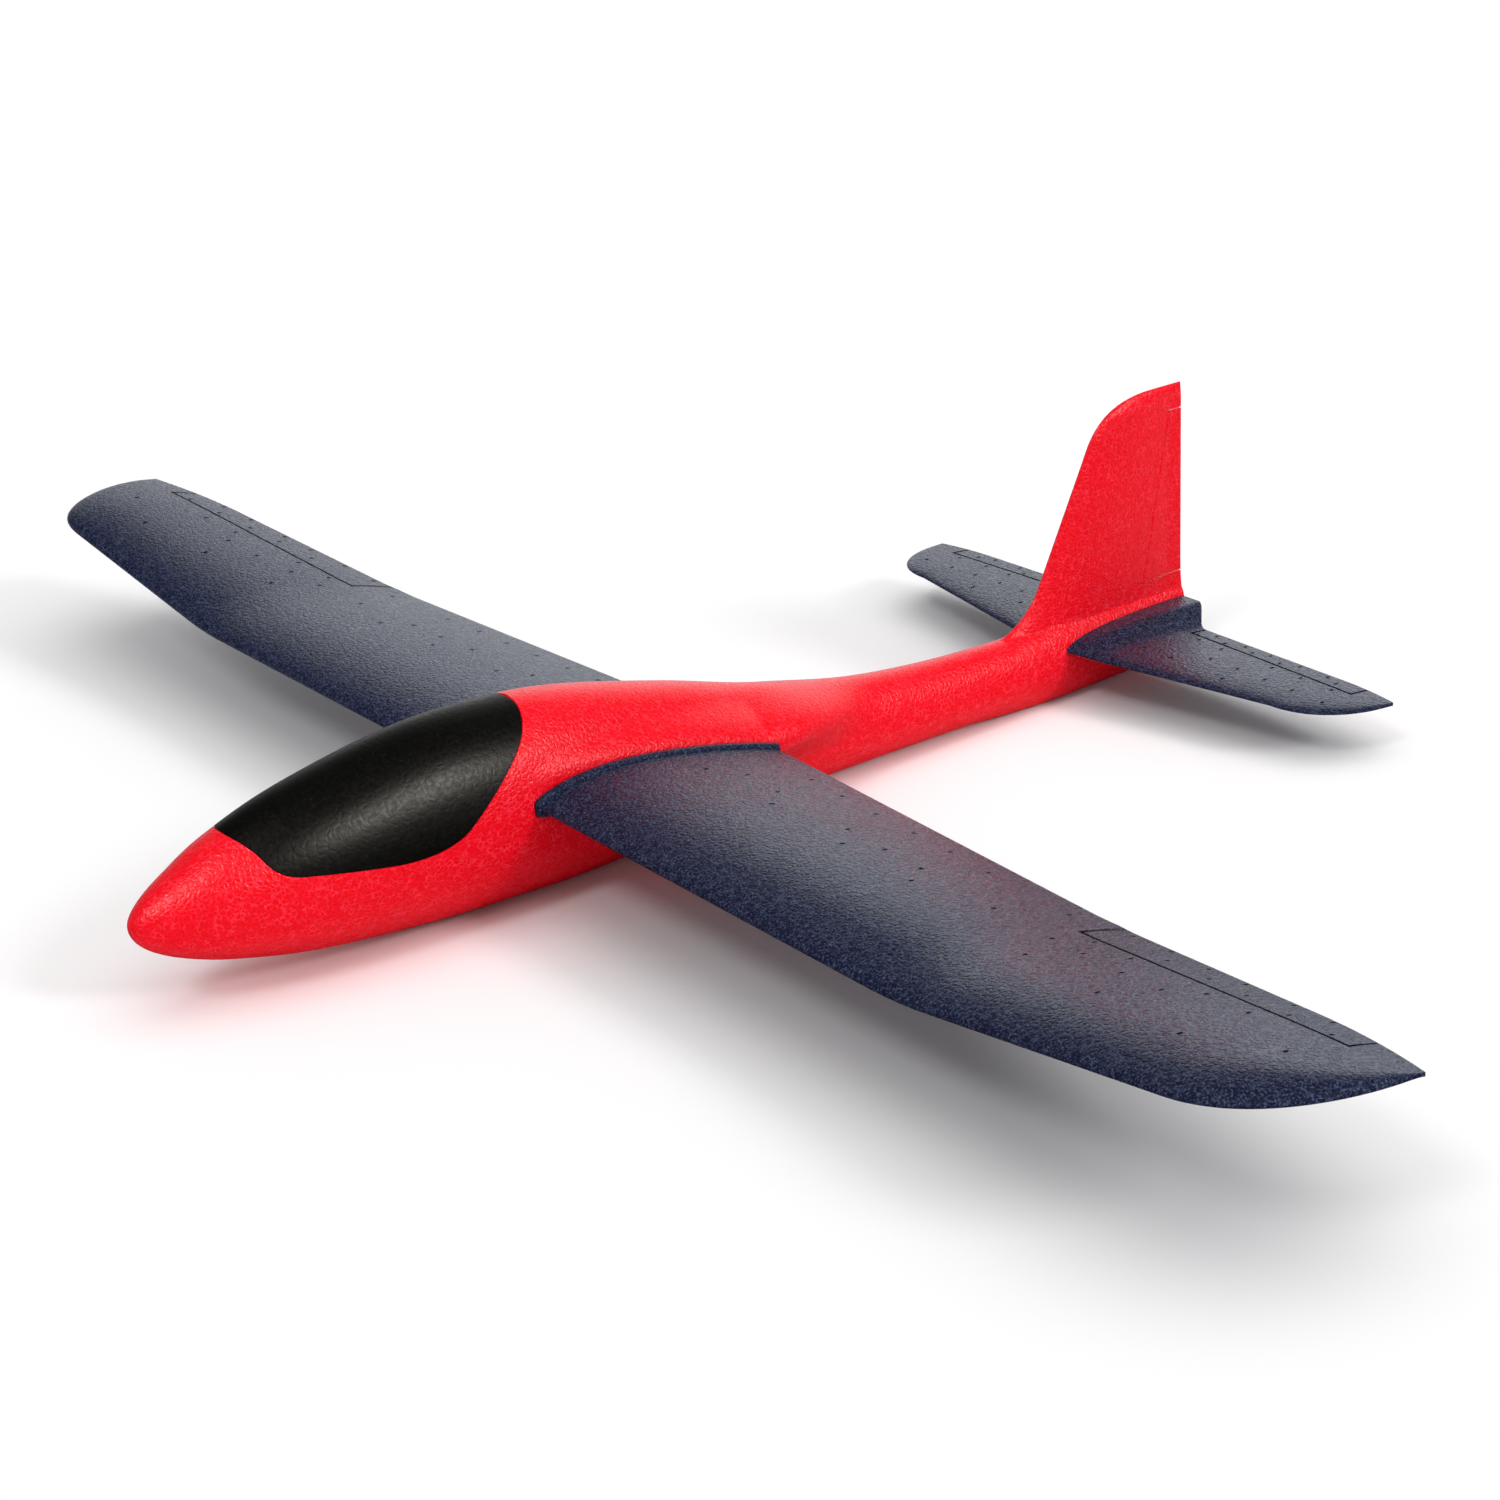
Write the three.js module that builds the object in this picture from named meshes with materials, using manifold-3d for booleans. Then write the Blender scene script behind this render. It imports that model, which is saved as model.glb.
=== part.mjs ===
// A hand-launched foam glider of about one metre span: a moulded fuselage with its fin, two plug-in
// wing halves with raised tips, two plug-in tail halves, and five control surfaces that bend on thin
// webs left by moulded grooves. Millimetres, +Z up.
//
// The nose points along -X and the right wing along +Y. The origin is on the symmetry plane, on the
// flat of the belly, below 30% of the wing's root chord.
import * as THREE from "three";
import { mergeVertices } from "three/addons/utils/BufferGeometryUtils.js";
import Module from "manifold-3d";

const wasm = await Module();
wasm.setup();

// ---- driving dimensions -------------------------------------------------------------------------

const GAP = 0.4; // clearance between pieces that only rest against each other
const BEYOND = 60; // how far a cutting shape runs past the piece it cuts
const BELLY_CUT = { x: [-300, 500], y: [-100, 100], z: [-20, 0] }; // what the flat of the belly takes off

// The fuselage's outline: x, underside z, upper z, half width. Sections are ellipses.
const BODY = [
  [-237, 47, 47, 0],
  [-229, 33.5, 57.2, 11.6],
  [-213, 25, 66.6, 19],
  [-190, 17.4, 77.6, 26.6],
  [-150, 8.8, 90, 34],
  [-89, 2.4, 100.7, 37.5],
  [-40, 0.2, 101, 37.5],
  [0, -0.6, 96.3, 35.5],
  [60, 2, 81.4, 29.5],
  [110, 3.4, 66.4, 24],
  [165, 3.6, 53, 19.6],
  [230, 3.2, 45, 16.8],
  [313, 1.8, 42, 13.5],
  [413, 2.4, 38.5, 4.2],
];
const BODY_RINGS = 40;
const BODY_SIDES = 32;

const WING = {
  rootY: 36.4,
  breakY: 297,
  tipY: 505,
  leadX: -42,
  rootTrailX: 97.5,
  breakTrailX: 83,
  tipTrailX: 45.5,
  trailZ: 45.6, // mid height of the trailing edge along the flat inner panel
  slope: 0.08, // rise of the chord line towards the leading edge
  dihedral: 0.15, // rise of the outer panel for each unit of span
  bend: 18, // half the span over which the bend is rounded
  roundFrom: 447, // where the leading edge starts to round into the tip
  roundX: 37.5, // chordwise place of the tip's outermost point
  sweepFrom: 435, // where the trailing edge starts to curve forward
  tipSweep: 7, // how far forward it has come at the tip
  camber: 0.042,
  thickness: 0.098,
  trailThickness: 1.8,
};
const LIP = { width: 4.5, height: 1.9 }; // raised edge round the wing root
const TONGUE = { x: [14, 56], z: [52.8, 56.6], innerY: 2 };
const SPAR = { x: 2, z: 57.8, outer: 4, inner: 3.3, toY: 276 };
const JOINER = { radius: 3, half: 138 };

const STAB = {
  rootY: 1,
  leadRootX: 313.5,
  leadTipX: 341,
  roundFrom: 138,
  tipY: 178,
  trailRootX: 398.5,
  trailTipX: 394.5,
  roundX: 387, // chordwise place of the tip's outermost point
  tipSweep: 4, // how far forward the trailing edge curves over the rounding
  trailZ: 26.4, // mid height of the trailing edge
  slope: 0.04,
  thickness: 0.078,
  trailThickness: 1.8,
};
// The tall root of each tail half: its crown height, and where it ends and fades into the tail half.
const CUFF = { height: 8, trailX: 412, topY: 16, footY: 37 };
const TAIL_TONGUE = { x: [346, 376], z: [26, 30], innerY: 0.8 };
const TAIL_JOINER = { x: 334, z: 29, radius: 1.5, half: 44 };

// Fin outline in side view, from the foot of the fillet up the leading edge and round to the top.
const FIN = {
  footX: 262,
  filletX: 298.5,
  straightX: 342,
  straightZ: 132,
  topX: 391,
  topZ: 158.5,
  trailX: 413,
  baseZ: 26,
  footZ: 38, // where the fillet leaves the fuselage's back
  halfThickness: 5,
  topHalf: 3,
  trailHalf: 1,
  levels: [38.5, 41, 44, 48, 53, 60, 80, 105, 130, 140, 148, 154, 157.2, 158.4],
};

// Each hinge line runs from its inner (or lower) end to its outer (or upper) end.
const HINGE = { gap: 1.6, web: 1.1, webDepth: 0.6, bevel: Math.tan(THREE.MathUtils.degToRad(27)) };
const AILERON = { inner: [56, 302.5], outer: [33, 472.5], depth: 0.7, endGap: 0.9 };
const ELEVATOR = { inner: [386.5, 37], outer: [381.5, 157], depth: 0.7, endGap: 0.7 };
const RUDDER = { lower: [381.5, 49.5], upper: [403.5, 144.5], endGap: 0.7 };

// Canopy outline in side view, as the corners of its lower edge from the front to the rear.
const CANOPY = {
  front: [-191, 81],
  chin: [-174.5, 60.3],
  heel: [-95, 48],
  rear: [-30.5, 104],
  top: 130,
};
const FINGER_NOTCH = { half: 7, radius: 3, x: -30, z: 101.5 }; // at the canopy's rear edge
const BAY = { x: [-166, -112], halfWidth: 20, floor: 28, roof: 74 };
const WEIGHT = { z: 46.5, radius: 6.5, front: -208, length: 32, plug: 7 };
const MAGNET = { x: -97, radius: 4, height: 3, seatZ: 46.4, lidZ: 51.8 };

const RED = { color: 0xd8122a, roughness: 0.62, metalness: 0 };
const NAVY = { color: 0x2e3448, roughness: 0.66, metalness: 0 };
const BLACK = { color: 0x121312, roughness: 0.5, metalness: 0 };
const CARBON = { color: 0x1b1c1e, roughness: 0.35, metalness: 0.1 };
const STEEL = { color: 0x9a9c9e, roughness: 0.35, metalness: 1 };
const NICKEL = { color: 0xc4c5c6, roughness: 0.25, metalness: 1 };

// ---- solids -------------------------------------------------------------------------------------

// A closed three.js geometry as a solid, with its faces turned outwards.
function solid(geometry) {
  const source = geometry.clone();
  source.deleteAttribute("normal");
  source.deleteAttribute("uv");
  const merged = mergeVertices(source, 1e-4);
  const vertProperties = new Float32Array(merged.attributes.position.array);
  const triVerts = new Uint32Array(merged.index.array);
  const made = new wasm.Manifold(new wasm.Mesh({ numProp: 3, vertProperties, triVerts }));
  if (made.volume() > 0) return made;
  for (let i = 0; i < triVerts.length; i += 3) {
    [triVerts[i + 1], triVerts[i + 2]] = [triVerts[i + 2], triVerts[i + 1]];
  }
  return new wasm.Manifold(new wasm.Mesh({ numProp: 3, vertProperties, triVerts }));
}

function geometryOf(made) {
  const mesh = made.getMesh();
  const geometry = new THREE.BufferGeometry();
  geometry.setAttribute("position", new THREE.BufferAttribute(mesh.vertProperties, 3));
  geometry.setIndex(new THREE.BufferAttribute(mesh.triVerts, 1));
  geometry.computeVertexNormals();
  return geometry;
}

// Skins a list of rings, each a list of THREE.Vector3 in the same order, and closes both ends.
function loft(rings) {
  const sides = rings[0].length;
  const positions = rings.flat().flatMap((p) => [p.x, p.y, p.z]);
  const index = [];
  for (let r = 0; r + 1 < rings.length; r++) {
    for (let s = 0; s < sides; s++) {
      const a = r * sides + s;
      const b = r * sides + ((s + 1) % sides);
      index.push(a, b, b + sides, a, b + sides, a + sides);
    }
  }
  for (const [ring, start] of [[rings[0], 0], [rings.at(-1), (rings.length - 1) * sides]]) {
    const centre = ring.reduce((sum, p) => sum.add(p), new THREE.Vector3()).divideScalar(sides);
    const hub = positions.length / 3;
    positions.push(centre.x, centre.y, centre.z);
    for (let s = 0; s < sides; s++) {
      const next = (s + 1) % sides;
      index.push(hub, ...(start === 0 ? [start + next, start + s] : [start + s, start + next]));
    }
  }
  const geometry = new THREE.BufferGeometry();
  geometry.setAttribute("position", new THREE.Float32BufferAttribute(positions, 3));
  geometry.setIndex(index);
  return solid(geometry);
}

// A box between two corners, given as [low, high] on each axis.
function box(x, y, z) {
  const geometry = new THREE.BoxGeometry(x[1] - x[0], y[1] - y[0], z[1] - z[0]);
  geometry.translate((x[0] + x[1]) / 2, (y[0] + y[1]) / 2, (z[0] + z[1]) / 2);
  return solid(geometry);
}

// A round bar along an axis ("x", "y" or "z") from low to high, centred on the other two coordinates.
function bar(axis, low, high, radius, [u, v], sides = 20) {
  const geometry = new THREE.CylinderGeometry(radius, radius, high - low, sides);
  const middle = (low + high) / 2;
  if (axis === "x") geometry.rotateZ(Math.PI / 2).translate(middle, u, v);
  if (axis === "y") geometry.translate(u, middle, v);
  if (axis === "z") geometry.rotateX(Math.PI / 2).translate(u, v, middle);
  return solid(geometry);
}

// A side-view outline of [x, z] points as a slab between two y values.
function slab(points, y) {
  const shape = new THREE.Shape(points.map(([x, z]) => new THREE.Vector2(x, z)));
  const geometry = new THREE.ExtrudeGeometry(shape, { depth: y[1] - y[0], bevelEnabled: false });
  geometry.rotateX(Math.PI / 2).translate(0, y[1], 0);
  return solid(geometry);
}

// Moves each corner of an outline outwards (or inwards, if distance is negative).
function offset(points, distance) {
  const turn = Math.sign(THREE.ShapeUtils.area(points.map(([x, y]) => new THREE.Vector2(x, y))));
  return points.map((point, i) => {
    const before = points[(i + points.length - 1) % points.length];
    const after = points[(i + 1) % points.length];
    const normals = [[before, point], [point, after]].map(([a, b]) =>
      new THREE.Vector2(b[1] - a[1], a[0] - b[0]).normalize().multiplyScalar(turn),
    );
    const out = normals[0].clone().add(normals[1]);
    out.multiplyScalar((2 * distance) / out.lengthSq());
    return [point[0] + out.x, point[1] + out.y];
  });
}

// ---- shapes shared by several pieces ------------------------------------------------------------

// Catmull-Rom through the rows of a table, t from 0 to 1.
function alongTable(table, t) {
  const place = t * (table.length - 1);
  const i = Math.min(Math.floor(place), table.length - 2);
  const u = place - i;
  const row = (k) => table[THREE.MathUtils.clamp(k, 0, table.length - 1)];
  return row(i).map((p1, column) => {
    const [p0, p2, p3] = [row(i - 1)[column], row(i + 1)[column], row(i + 2)[column]];
    const [v0, v1] = [(p2 - p0) / 2, (p3 - p1) / 2];
    return p1 + u * (v0 + u * (3 * (p2 - p1) - 2 * v0 - v1 + u * (2 * (p1 - p2) + v0 + v1)));
  });
}

// The fuselage without its fin, larger all round by grow.
function bodySolid(grow = 0) {
  const rings = [];
  for (let i = 0; i <= BODY_RINGS; i++) {
    const t = Math.max(i / BODY_RINGS, 0.004);
    const [x, low, high, half] = alongTable(BODY, t);
    const ring = [];
    for (let s = 0; s < BODY_SIDES; s++) {
      const angle = (2 * Math.PI * s) / BODY_SIDES;
      const y = (half + grow) * Math.cos(angle);
      const z = (low + high) / 2 + ((high - low) / 2 + grow) * Math.sin(angle);
      ring.push(new THREE.Vector3(x, y, z));
    }
    rings.push(ring);
  }
  return loft(rings);
}

// Half thickness of a four-digit wing section as a share of its chord, at share u of the chord.
function halfThickness(u, thickness) {
  const poly = 0.2969 * Math.sqrt(u) - 0.126 * u - 0.3516 * u ** 2 + 0.2843 * u ** 3 - 0.1036 * u ** 4;
  return 5 * thickness * poly;
}

function camberLine(u, camber) {
  const peak = 0.4;
  const half = u < peak ? peak : 1 - peak;
  const mirrored = u < peak ? u : 1 - u;
  return camber * (2 * (mirrored / half) - (mirrored / half) ** 2);
}

// A ring round a wing section: along the top from the trailing edge to the nose, and back below.
// place(u, top) gives the point at share u of the chord on the top or the underside.
function sectionRing(place, count) {
  const shares = Array.from({ length: count }, (_, i) => (1 + Math.cos((Math.PI * i) / (count - 1))) / 2);
  const top = shares.map((u) => place(u, true));
  const below = shares.slice(0, -1).reverse().map((u) => place(u, false));
  return [...top, ...below];
}

// The tip's rounding: 0 until y reaches from, then to 1 at the tip along a soft ellipse.
function tipRound(y, from, tip, power = 2.4) {
  const t = THREE.MathUtils.clamp((y - from) / (tip - from), 0, 1);
  return 1 - Math.sqrt(1 - t ** power);
}

// Leading and trailing edge of the wing at span y, as [x lead, x trail, z of the trailing edge].
function wingEdges(y) {
  const toBreak = (y - WING.rootY) / (WING.breakY - WING.rootY);
  const toTip = (y - WING.breakY) / (WING.tipY - WING.breakY);
  const straight =
    y < WING.breakY
      ? THREE.MathUtils.lerp(WING.rootTrailX, WING.breakTrailX, toBreak)
      : THREE.MathUtils.lerp(WING.breakTrailX, WING.tipTrailX, toTip);
  const lead = WING.leadX + (WING.roundX - WING.leadX) * tipRound(y, WING.roundFrom, WING.tipY);
  const toEnd = THREE.MathUtils.clamp((y - WING.sweepFrom) / (WING.tipY - WING.sweepFrom), 0, 1);
  const trail = straight - WING.tipSweep * toEnd ** 2;
  const past = THREE.MathUtils.clamp(y - WING.breakY + WING.bend, 0, 2 * WING.bend);
  const rise = past ** 2 / (4 * WING.bend) + Math.max(y - WING.breakY - WING.bend, 0);
  return [lead, trail, WING.trailZ + WING.dihedral * rise];
}

// A point on the wing's skin at span y, at share u of the chord, pushed out by proud.
function wingPoint(y, u, top, proud = 0) {
  const [lead, trail, trailZ] = wingEdges(y);
  const chord = trail - lead;
  const half = halfThickness(u, WING.thickness) * chord + (u * WING.trailThickness) / 2 + proud;
  const z = trailZ + WING.slope * (1 - u) * chord + camberLine(u, WING.camber) * chord;
  const x = lead + u * chord + proud * (2 * u - 1);
  return new THREE.Vector3(x, y, z + (top ? half : -half));
}

function wingSkin(stations, proud = 0, count = 11) {
  return loft(stations.map((y) => sectionRing((u, top) => wingPoint(y, u, top, proud), count)));
}

// Leading and trailing edge of a tail half at span y, and how much of the cuff is left there.
function stabEdges(y) {
  const toRound = THREE.MathUtils.clamp(y / STAB.roundFrom, 0, 1);
  const straight = THREE.MathUtils.lerp(STAB.leadRootX, STAB.leadTipX, toRound);
  const lead = straight + (STAB.roundX - straight) * tipRound(y, STAB.roundFrom, STAB.tipY, 2.2);
  const plain = THREE.MathUtils.lerp(STAB.trailRootX, STAB.trailTipX, y / STAB.tipY);
  const toEnd = THREE.MathUtils.clamp((y - STAB.roundFrom) / (STAB.tipY - STAB.roundFrom), 0, 1);
  const fade = (1 - THREE.MathUtils.smoothstep(y, CUFF.topY, CUFF.footY)) ** 1.2;
  const trail = plain - STAB.tipSweep * toEnd ** 2 + (CUFF.trailX - plain) * fade;
  return [lead, trail, fade];
}

function stabPoint(y, u, top) {
  const [lead, trail, fade] = stabEdges(y);
  const chord = trail - lead;
  const half = halfThickness(u, STAB.thickness) * chord + (u * STAB.trailThickness) / 2;
  const crown = top ? CUFF.height * fade * u ** 0.8 : 0;
  const middle = STAB.trailZ + STAB.slope * (1 - u) * chord;
  return new THREE.Vector3(lead + u * chord, y, middle + (top ? half + crown : -half));
}

// The fin's leading edge: x and z at share t from the fillet's foot to the top of the trailing edge.
const finLead = (() => {
  const path = new THREE.CurvePath();
  const at = (x, z) => new THREE.Vector2(x, z);
  const knee = at(FIN.filletX + 8, 64);
  const head = at(FIN.straightX, FIN.straightZ);
  const crown = at(FIN.straightX + 11.5, FIN.topZ);
  path.add(new THREE.QuadraticBezierCurve(at(FIN.footX, FIN.footZ), at(FIN.filletX - 4, 43.5), knee));
  path.add(new THREE.LineCurve(knee, head));
  path.add(new THREE.QuadraticBezierCurve(head, crown, at(FIN.topX, FIN.topZ)));
  return path;
})();

// The fin, larger all round by grow: level sections from inside the fuselage up to the top.
function finSolid(grow = 0) {
  const outline = finLead.getSpacedPoints(60);
  const leadAt = (z) => {
    const i = Math.max(outline.findIndex((p) => p.y >= z), 1);
    const [a, b] = [outline[i - 1], outline[i]];
    return THREE.MathUtils.lerp(a.x, b.x, THREE.MathUtils.clamp((z - a.y) / (b.y - a.y), 0, 1));
  };
  const rings = [FIN.baseZ, ...FIN.levels].map((z) => {
    const height = THREE.MathUtils.clamp((z - 40) / (FIN.topZ - 40), 0, 1);
    const lead = leadAt(Math.max(z, FIN.levels[0])) - grow;
    const tipSoft = Math.sqrt(THREE.MathUtils.clamp((FIN.topZ - z + 0.6) / 8, 0.06, 1));
    const half = THREE.MathUtils.lerp(FIN.halfThickness, FIN.topHalf, height) * tipSoft + grow;
    const trailHalf = FIN.trailHalf * tipSoft + grow;
    const chord = FIN.trailX - lead;
    const place = (u, right) => {
      const bulge = halfThickness(u, 1) / 0.5;
      const y = Math.max(half * bulge, trailHalf * Math.min(u * 6, 1));
      return new THREE.Vector3(lead + u * chord, right ? y : -y, z);
    };
    return sectionRing(place, 10);
  });
  return loft(rings);
}

// ---- control surfaces ---------------------------------------------------------------------------

// Cuts a control surface out of a skin along a hinge line from a to b. The web lies depth below the
// side named by out, and the groove opens on that side, or on both sides with a web at mid depth.
// The surface's two ends are cut along X and square to the span, endGap short of a and b.
// Returns the skin without the surface, the surface, and the web.
function hingedSurface(skin, { a, b, out, endGap, depth, bothSides = false }) {
  const along = b.clone().sub(a).normalize();
  const aft = new THREE.Vector3().crossVectors(along, out).normalize();
  if (aft.x < 0) aft.negate();
  const up = new THREE.Vector3().crossVectors(aft, along).normalize();
  if (up.dot(out) < 0) up.negate();
  const ring = (from, profile, u, v) =>
    profile.map(([c, n]) => from.clone().addScaledVector(u, c).addScaledVector(v, n));
  const start = a.clone().addScaledVector(along, -BEYOND).addScaledVector(up, -depth);
  const end = b.clone().addScaledVector(along, BEYOND).addScaledVector(up, -depth);
  const run = (profile) => loft([ring(start, profile, aft, up), ring(end, profile, aft, up)]);

  const spanwise = along.clone().setX(0).normalize();
  const chordwise = new THREE.Vector3(1, 0, 0);
  const across = new THREE.Vector3().crossVectors(chordwise, spanwise);
  const square = [[-BEYOND, -BEYOND], [BEYOND, -BEYOND], [BEYOND, BEYOND], [-BEYOND, BEYOND]];
  const between = (inset) =>
    loft([
      ring(a.clone().addScaledVector(spanwise, inset), square, chordwise, across),
      ring(b.clone().addScaledVector(spanwise, -inset), square, chordwise, across),
    ]);

  const { gap, web, webDepth, bevel } = HINGE;
  const tall = 16;
  const lean = bevel * (tall - webDepth / 2);
  const upperLean = bothSides ? lean : 0;
  const pocket = run([[-gap / 2, -tall], [BEYOND, -tall], [BEYOND, tall], [-gap / 2, tall]]);
  const surface = run([
    [gap / 2 + lean, -tall],
    [BEYOND, -tall],
    [BEYOND, tall],
    [gap / 2 + upperLean, tall],
    [gap / 2, webDepth / 2],
    [gap / 2, -webDepth / 2],
  ]);
  const strip = run([
    [-web / 2, -webDepth / 2],
    [web / 2, -webDepth / 2],
    [web / 2, webDepth / 2],
    [-web / 2, webDepth / 2],
  ]);
  return {
    rest: skin.subtract(pocket.intersect(between(0))),
    surface: skin.intersect(surface).intersect(between(endGap)),
    web: skin.intersect(strip).intersect(between(endGap)),
  };
}

// ---- pieces -------------------------------------------------------------------------------------

const BEND_STATIONS = [-1, -0.5, 0, 0.5, 1].map((share) => WING.breakY + share * WING.bend);
const TIP_STATIONS = [WING.roundFrom, 468, 482, 492, 498.5, 502, 504, 504.9];

function wingPieces() {
  const skin = wingSkin([WING.rootY, 150, ...BEND_STATIONS, 400, ...TIP_STATIONS]);
  const lip = wingSkin([WING.rootY, WING.rootY + LIP.width], LIP.height);
  const tongue = box(TONGUE.x, [TONGUE.innerY, WING.rootY + 10], TONGUE.z);
  const sparBore = bar("y", WING.rootY - 2, SPAR.toY + GAP, SPAR.outer + GAP, [SPAR.x, SPAR.z]);
  const whole = skin.add(lip).add(tongue).subtract(sparBore);
  const hingePoint = ([x, y]) => {
    const [lead, trail] = wingEdges(y);
    return wingPoint(y, (x - lead) / (trail - lead), true);
  };
  const cut = hingedSurface(whole, {
    a: hingePoint(AILERON.inner),
    b: hingePoint(AILERON.outer),
    out: new THREE.Vector3(0, 0, 1),
    endGap: AILERON.endGap,
    depth: AILERON.depth,
  });
  const bore = bar("y", WING.rootY - BEYOND, SPAR.toY + BEYOND, SPAR.inner, [SPAR.x, SPAR.z]);
  const tube = bar("y", WING.rootY + GAP, SPAR.toY, SPAR.outer, [SPAR.x, SPAR.z]);
  return { wing: cut.rest, aileron: cut.surface, aileron_hinge: cut.web, wing_spar: tube.subtract(bore) };
}

const CUFF_STATIONS = [CUFF.topY, 19, 22, 25, 28, 31, 34, CUFF.footY];
const STAB_STATIONS = [0, ...CUFF_STATIONS, 80, STAB.roundFrom, 152, 163, 170, 174, 176.5, 177.7];

function tailPieces(fuselageGrown) {
  const skin = loft(STAB_STATIONS.map((y) => sectionRing((u, top) => stabPoint(y, u, top), 9)));
  const tongue = box(TAIL_TONGUE.x, [TAIL_TONGUE.innerY, CUFF.topY], TAIL_TONGUE.z);
  const boreEnd = TAIL_JOINER.half + GAP;
  const bore = bar("y", 0, boreEnd, TAIL_JOINER.radius + GAP, [TAIL_JOINER.x, TAIL_JOINER.z]);
  const clearOfBody = skin.subtract(fuselageGrown).subtract(box([0, 600], [-BEYOND, STAB.rootY], [-50, 250]));
  const whole = clearOfBody.add(tongue).subtract(bore);
  const hingePoint = ([x, y]) => {
    const [lead, trail] = stabEdges(y);
    return stabPoint(y, (x - lead) / (trail - lead), true);
  };
  const cut = hingedSurface(whole, {
    a: hingePoint(ELEVATOR.inner),
    b: hingePoint(ELEVATOR.outer),
    out: new THREE.Vector3(0, 0, 1),
    endGap: ELEVATOR.endGap,
    depth: ELEVATOR.depth,
  });
  return { tailplane: cut.rest, elevator: cut.surface, elevator_hinge: cut.web };
}

// The flat-sided red stub on each flank that the wing root rests against.
function wingSaddle() {
  const stations = [-WING.rootY + GAP, WING.rootY - GAP];
  return loft(
    stations.map((y) =>
      sectionRing((u, top) => wingPoint(WING.rootY, u, top).setY(y), 11),
    ),
  );
}

// The shallow seats pressed into both flanks, which leave the wing roots their clearance.
function wingSeats() {
  const seat = wingSkin([WING.rootY - GAP, WING.rootY + 20], LIP.height + GAP);
  return seat.add(seat.mirror([0, 1, 0]));
}

// The canopy's side view: down the front, round the chin, back along the sill, round the heel and up.
function canopyOutline() {
  const { front, chin, heel, rear, top } = CANOPY;
  const shape = new THREE.Path();
  shape.moveTo(...front);
  shape.lineTo(chin[0] - 4, chin[1] + 9);
  shape.quadraticCurveTo(chin[0], chin[1], chin[0] + 14, chin[1] - 1.5);
  shape.lineTo(heel[0] - 30, heel[1] + 5);
  shape.quadraticCurveTo(heel[0], heel[1], heel[0] + 15, heel[1] + 9.5);
  shape.lineTo(rear[0] - 16, rear[1] - 20.5);
  shape.quadraticCurveTo(rear[0] - 2.5, rear[1] - 10, ...rear);
  const points = shape.getPoints(5).map((p) => [p.x, p.y]);
  return [...points, [rear[0] + 3, top], [front[0] - 3, top]];
}

function rudderPieces(body) {
  const at = ([x, z]) => new THREE.Vector3(x, 0, z);
  return hingedSurface(body, {
    a: at(RUDDER.lower),
    b: at(RUDDER.upper),
    out: new THREE.Vector3(0, 1, 0),
    endGap: RUDDER.endGap,
    depth: 0,
    bothSides: true,
  });
}

function fuselagePieces() {
  const body = bodySolid();
  const outline = canopyOutline();
  const recess = slab(offset(outline, GAP), [-BEYOND, BEYOND]);
  const bay = box(BAY.x, [-BAY.halfWidth, BAY.halfWidth], [BAY.floor, BAY.roof]);
  const { half, radius, x, z } = FINGER_NOTCH;
  const notch = bar("y", -half, half, radius, [x, z], 12);

  const canopy = body
    .intersect(slab(outline, [-BEYOND, BEYOND]))
    .subtract(bay)
    .subtract(bar("z", 40, MAGNET.lidZ + MAGNET.height + GAP, MAGNET.radius + GAP, [MAGNET.x, 0]))
    .subtract(notch);

  const slotX = [TONGUE.x[0] - GAP, TONGUE.x[1] + GAP];
  const slotZ = [TONGUE.z[0] - GAP, TONGUE.z[1] + GAP];
  const tailSlotX = [TAIL_TONGUE.x[0] - GAP, TAIL_TONGUE.x[1] + GAP];
  const tailSlotZ = [TAIL_TONGUE.z[0] - GAP, TAIL_TONGUE.z[1] + GAP];
  const through = [-BEYOND, BEYOND];
  const weightBore = [WEIGHT.front - GAP, BAY.x[0] + 1];
  const hull = body
    .subtract(wingSeats())
    .add(wingSaddle())
    .add(finSolid())
    .subtract(recess)
    .subtract(bay)
    .subtract(bar("z", MAGNET.seatZ - GAP, BAY.roof, MAGNET.radius + GAP, [MAGNET.x, 0]))
    .subtract(bar("x", ...weightBore, WEIGHT.radius + GAP, [0, WEIGHT.z]))
    .subtract(box(slotX, through, slotZ))
    .subtract(bar("y", ...through, JOINER.radius + GAP, [SPAR.x, SPAR.z]))
    .subtract(box(tailSlotX, through, tailSlotZ))
    .subtract(bar("y", ...through, TAIL_JOINER.radius + GAP, [TAIL_JOINER.x, TAIL_JOINER.z]))
    .subtract(box(BELLY_CUT.x, BELLY_CUT.y, BELLY_CUT.z));
  const cut = rudderPieces(hull);
  return { fuselage: cut.rest, rudder: cut.surface, rudder_hinge: cut.web, canopy };
}

// ---- assembly -----------------------------------------------------------------------------------

const glider = new THREE.Group();
glider.name = "foam_glider";

function addPiece(group, name, made, look) {
  const mesh = new THREE.Mesh(geometryOf(made), new THREE.MeshStandardMaterial(look));
  mesh.name = name;
  group.add(mesh);
}

const central = fuselagePieces();
addPiece(glider, "fuselage", central.fuselage, RED);
addPiece(glider, "rudder", central.rudder, RED);
addPiece(glider, "rudder_hinge", central.rudder_hinge, RED);
addPiece(glider, "canopy", central.canopy, BLACK);

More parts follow.
